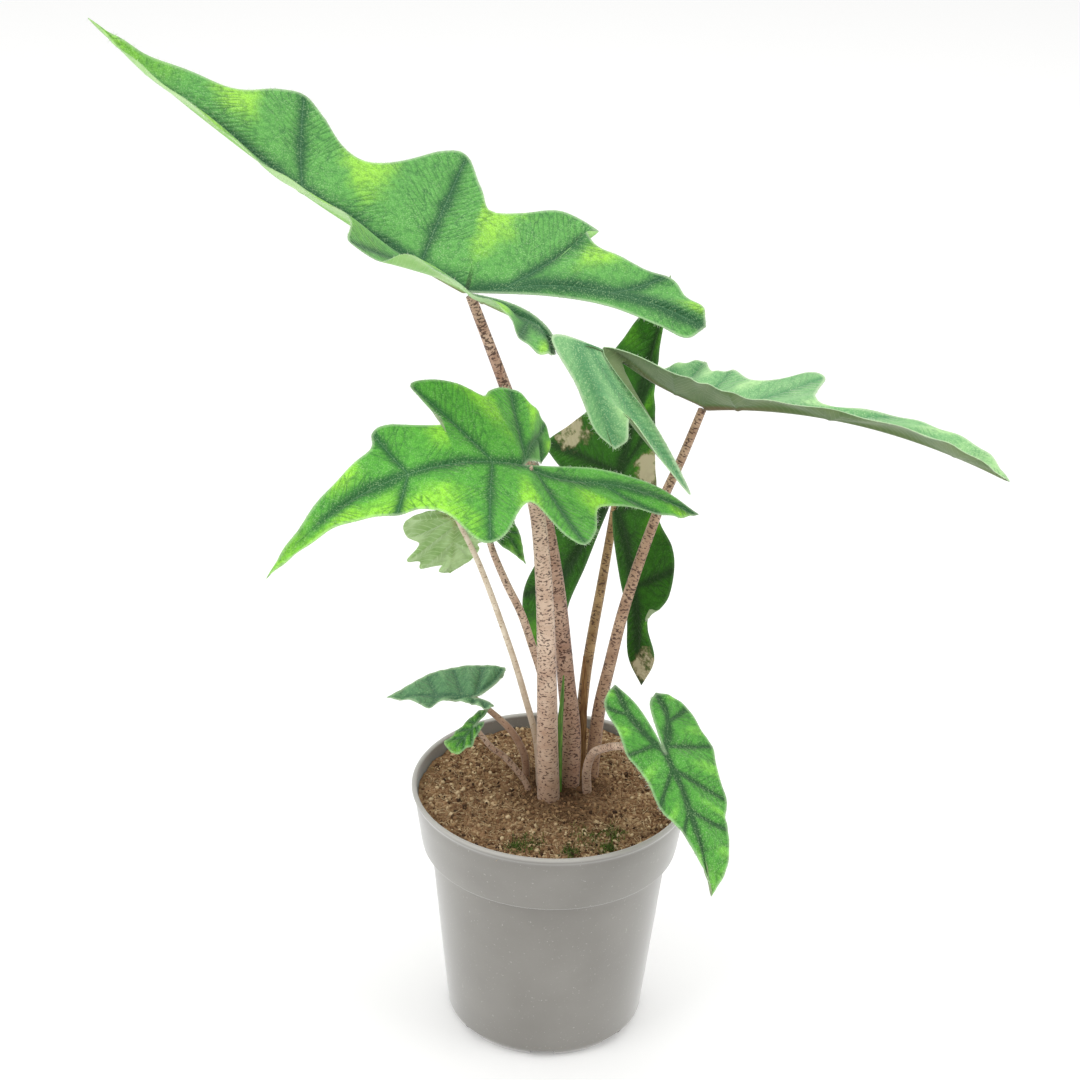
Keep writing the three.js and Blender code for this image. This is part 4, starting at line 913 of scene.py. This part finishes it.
small_skin = leaf_skin("velvet_leaf_small", 0x33652F, 0x559E30, 0x7CBE3E, 0.0, 0.6)
PLAIN_HALF = dict(
    margin=[[1, 0], [0.88, 0.05], [0.74, 0.13], [0.58, 0.22], [0.44, 0.25], [0.28, 0.33], [0.12, 0.33],
        [-0.04, 0.37], [-0.16, 0.33], [-0.3, 0.31], [-0.4, 0.25], [-0.45, 0.17]],
    costa=[[-0.14, 0.06], [-0.3, 0.12]],
    inner=[[-0.13, 0.015], [-0.33, 0.06]])
stalk("behind", [
    [0, 8, 95.3, 1.6], [0, 8, 112, 1.9], [-2, 5, 140, 1.8], [-5, 4, 162, 1.8], [-10, 7, 177, 1.7],
    [-15, 9, 191, 1.7], [-22, 11, 205, 1.6], [-28.5, 13, 221, 1.4], [-30.8, 14, 235.5, 1.2]], pink_stalk)
blade("behind", dict(
    length=29, heading=330, pitch=-35, bend=20, back=0, fold=[8, -4], curl=20,
    at=[-31, 14, 237], rib=0.6, quilt=0.02, halves=[PLAIN_HALF, PLAIN_HALF]),
    [small_skin, pale_back], steps=8, places=12)

# Three small leaves low down: two over the left rim, and an arrowhead that hangs over the right rim.
low_skin = leaf_skin("velvet_leaf_bluish", 0x4B7656, 0x679A6A, 0x7FB07C, -0.1, 0.8)
stalk("low", [
    [-11, 7, 95.3, 1.4], [-11, 7, 110, 1.6], [-12, 5, 124, 1.6], [-18, 2, 138, 1.5],
    [-27.3, 0.5, 148.4, 1.3], [-33.3, -3, 156, 1.2]],
    stalk_skin("petiole_fawn", 0xC4A68E, 0xA6846C, 0x6A4838, 0.2))
blade("low", dict(
    length=36.5, heading=182, pitch=4, bend=10, back=0, fold=[0, 18], curl=20,
    at=[-34, -4, 157], rib=0.6, quilt=0.02,
    halves=[dict(
        margin=[[1, 0], [0.85, 0.06], [0.7, 0.1], [0.51, 0.25], [0.4, 0.15], [0.27, 0.08], [0.15, 0.1],
            [0.02, 0.14], [-0.05, 0.16], [-0.14, 0.22], [-0.2, 0.2], [-0.24, 0.14]],
        costa=[[-0.07, 0.04], [-0.16, 0.1]],
        inner=[[-0.08, 0.01], [-0.18, 0.07]],
    ), dict(
        margin=[[1, 0], [0.84, 0.1], [0.7, 0.22], [0.54, 0.34], [0.39, 0.43], [0.25, 0.48],
            [0.05, 0.55], [-0.1, 0.57], [-0.22, 0.58], [-0.35, 0.56], [-0.36, 0.48], [-0.33, 0.38]],
        costa=[[-0.1, 0.12], [-0.22, 0.26]],
        inner=[[-0.1, 0.06], [-0.25, 0.24]],
    )]), [low_skin, pale_back], steps=8, places=12, hairs=250)
stalk("lowest", [
    [-9, -3, 95.3, 1.2], [-9.5, -3, 110, 1.4], [-12, -3, 117, 1.3], [-20, -4, 128, 1.3],
    [-26, -6, 134.2, 1.2], [-32.5, -9, 145.2, 1]], pink_stalk)
blade("lowest", dict(
    length=15, heading=215, pitch=-35, bend=10, back=0, fold=[0, 0], curl=20,
    at=[-33, -9, 146.2], rib=0.4, quilt=0.02,
    halves=[dict(
        margin=[[1, 0], [0.95, 0.15], [0.89, 0.27], [0.75, 0.3], [0.62, 0.34], [0.49, 0.45],
            [0.3, 0.36], [0.1, 0.3], [-0.05, 0.26], [-0.15, 0.24], [-0.22, 0.2], [-0.25, 0.14]],
        costa=[[-0.08, 0.05], [-0.16, 0.09]],
        inner=[[-0.08, 0.01], [-0.18, 0.06]],
    ), dict(
        margin=[[1, 0], [0.98, 0.2], [0.96, 0.4], [0.88, 0.57], [0.65, 0.42], [0.45, 0.45],
            [0.24, 0.37], [0, 0.4], [-0.2, 0.34], [-0.4, 0.34], [-0.5, 0.2], [-0.58, 0.06]],
        costa=[[-0.2, 0.08], [-0.4, 0.09]],
        inner=[[-0.2, 0.01], [-0.4, 0]],
    )]), [small_skin, pale_back], steps=8, places=10)
stalk("rim", [
    [16, -3, 95.3, 1.7], [15.5, -4, 112, 2], [15, -7, 125, 1.9], [17, -12, 136, 1.8],
    [21, -19, 143, 1.7], [28, -28, 150, 1.6], [38, -37, 154.5, 1.4], [45, -41.5, 155.2, 1.3]], pink_stalk)
blade("rim", dict(
    length=61.5, heading=300, pitch=-30, bend=38, back=5, fold=[-12, 12], curl=10,
    at=[46, -42, 156], rib=0.8, quilt=0.012,
    halves=[dict(
        margin=[[1, 0], [0.9, 0.14], [0.78, 0.22], [0.62, 0.27], [0.52, 0.28], [0.42, 0.34],
            [0.2, 0.36], [0, 0.42], [-0.12, 0.4], [-0.32, 0.38], [-0.43, 0.3], [-0.47, 0.18]],
        costa=[[-0.14, 0.1], [-0.29, 0.18]],
        inner=[[-0.14, 0.02], [-0.38, 0.08]],
    ), dict(
        margin=[[1, 0], [0.88, 0], [0.76, 0.04], [0.56, 0.11], [0.46, 0.17], [0.36, 0.23],
            [0.15, 0.25], [-0.03, 0.3], [-0.2, 0.28], [-0.41, 0.28], [-0.52, 0.2], [-0.57, 0.11]],
        costa=[[-0.2, 0.1], [-0.4, 0.13]],
        inner=[[-0.18, 0], [-0.4, 0.03]],
    )]), [leaf_skin("velvet_leaf_fresh", 0x2A582C, 0x5AAC40, 0x82D24C, 0.05, 0.7, 0x4F7F4F), pale_back],
    steps=12, places=20, hairs=500)

# The next leaf, still rolled tight as a spike between the thick stalks, and the dry papery
# sheath of a leaf that has gone. Both are smooth and satin to dull, streaked along their length.


def streaked_skin(name, dark, light, stretch, width, detail, bump, roughness, gloss):
    """Tissue with streaks of that width in mm along it, 1 / stretch times as long as wide."""
    m = new_material(name)
    along = marked(m, "stem", "Vector")
    drawn = node(m, "Mapping", {}, Vector=along, Scale=(1, 1, stretch))
    streak = noise(m, drawn, width, detail)
    colour = node(m, "ValToRGB", {"stops": [(0.35, dark), (0.65, light)]}, streak)
    relief = node(m, "Bump", {}, Strength=bump, Distance=0.0003, Height=streak)
    return surface(
        m, Base_Color=colour, Roughness=roughness, Specular_IOR_Level=gloss, Normal=relief)


rolled_green = streaked_skin("rolled_leaf_green", 0x3F6A26, 0x6E9A3C, stretch=0.12, width=0.9,
                             detail=2.0, bump=0.5, roughness=0.55, gloss=0.4)
points, triangles, stem = tube([
    [3.3, -3.5, 95.3, 1.2], [3.3, -3, 112, 1.4], [3, -0.5, 140, 1.2], [3.5, 2, 155, 0.8], [3.8, 3, 165, 0.3]])
piece("rolled_leaf", points, triangles, [rolled_green], "new_leaf", {"stem": stem})

dry_paper = streaked_skin("dry_papery_sheath", 0x6B4A30, 0xA98457, stretch=0.08, width=0.5,
                          detail=3.0, bump=0.8, roughness=0.8, gloss=0.2)
points, triangles, stem = tube([
    [12.6, 6.5, 95.3, 1.4], [12.6, 7, 112, 1.6], [13, 11, 138, 1.5], [12.8, 14, 158, 1.1],
    [12.2, 15, 168, 0.4]], flatness=0.4)
piece("papery_sheath", points, triangles, [dry_paper], "sheath", {"stem": stem})

# The studio, in metres: a pale floor, lit a little from within so that it stays white, under a
# white sky, two broad soft lights and a top light.
FLOOR_REACH = 40
FLOOR_DROP = 0.0003
floor_mesh = bpy.data.meshes.new("studio_floor")
floor_corners = np.array([(-1, -1, 0), (1, -1, 0), (1, 1, 0), (-1, 1, 0)]) * FLOOR_REACH
floor_mesh.from_pydata((floor_corners - [0, 0, FLOOR_DROP]).tolist(), [], [(0, 1, 2, 3)])
pale_paper = m = new_material("pale_background_paper")
surface(m, Base_Color=linear(0xF6F6F5), Roughness=0.9, Emission_Color=linear(0xFFFFFF),
        Emission_Strength=0.14)
floor_mesh.materials.append(pale_paper)
studio_floor = bpy.data.objects.new("studio_floor", floor_mesh)
bpy.context.scene.collection.objects.link(studio_floor)

world = bpy.data.worlds.new("white_sky")
world.use_nodes = True
sky = world.node_tree.nodes["Background"].inputs
sky["Color"].default_value, sky["Strength"].default_value = linear(0xFFFFFF), 0.75
bpy.context.scene.world = world
bpy.context.scene.view_settings.view_transform = "Standard"


def soft_light(name, place, size, watts):
    """A square area light of that size in metres, turned to face the plant's middle."""
    light = bpy.data.lights.new(name, "AREA")
    light.size, light.energy = size, watts
    lamp = bpy.data.objects.new(name, light)
    aim = Vector((0, 0, 0.2)) - Vector(place)
    lamp.matrix_world = Matrix.Translation(place) @ aim.to_track_quat("-Z", "Y").to_matrix().to_4x4()
    bpy.context.scene.collection.objects.link(lamp)


soft_light("left_softbox", (-1.5, -1.0, 1.5), size=1.2, watts=14)
soft_light("right_softbox", (1.6, -0.5, 1.2), size=1.0, watts=7)
soft_light("top_softbox", (0.1, 0.3, 2.0), size=1.4, watts=12)

# The camera: a metre from the middle of the pot's rim, 32 degrees above it, with a long lens, and
# rolled a little.
RIM_HEIGHT = 0.1137
ELEVATION = np.radians(32.07)
ROLL = np.radians(1.66)
AIM = Vector((-0.0078, 0, 0.2297))
STAND = Vector((0, -np.cos(ELEVATION), RIM_HEIGHT + np.sin(ELEVATION)))
ahead = (AIM - STAND).normalized()
right = ahead.cross(Vector((0, 0, 1))).normalized()
up = right.cross(ahead)
tilted_right = right * np.cos(ROLL) + up * np.sin(ROLL)
tilted_up = up * np.cos(ROLL) - right * np.sin(ROLL)
lens = bpy.data.cameras.new("camera")
lens.lens, lens.sensor_width = 77, 36
camera = bpy.data.objects.new("camera", lens)
facing = Matrix((tilted_right, tilted_up, -ahead)).transposed().to_4x4()
camera.matrix_world = Matrix.Translation(STAND) @ facing
bpy.context.scene.collection.objects.link(camera)
bpy.context.scene.camera = camera
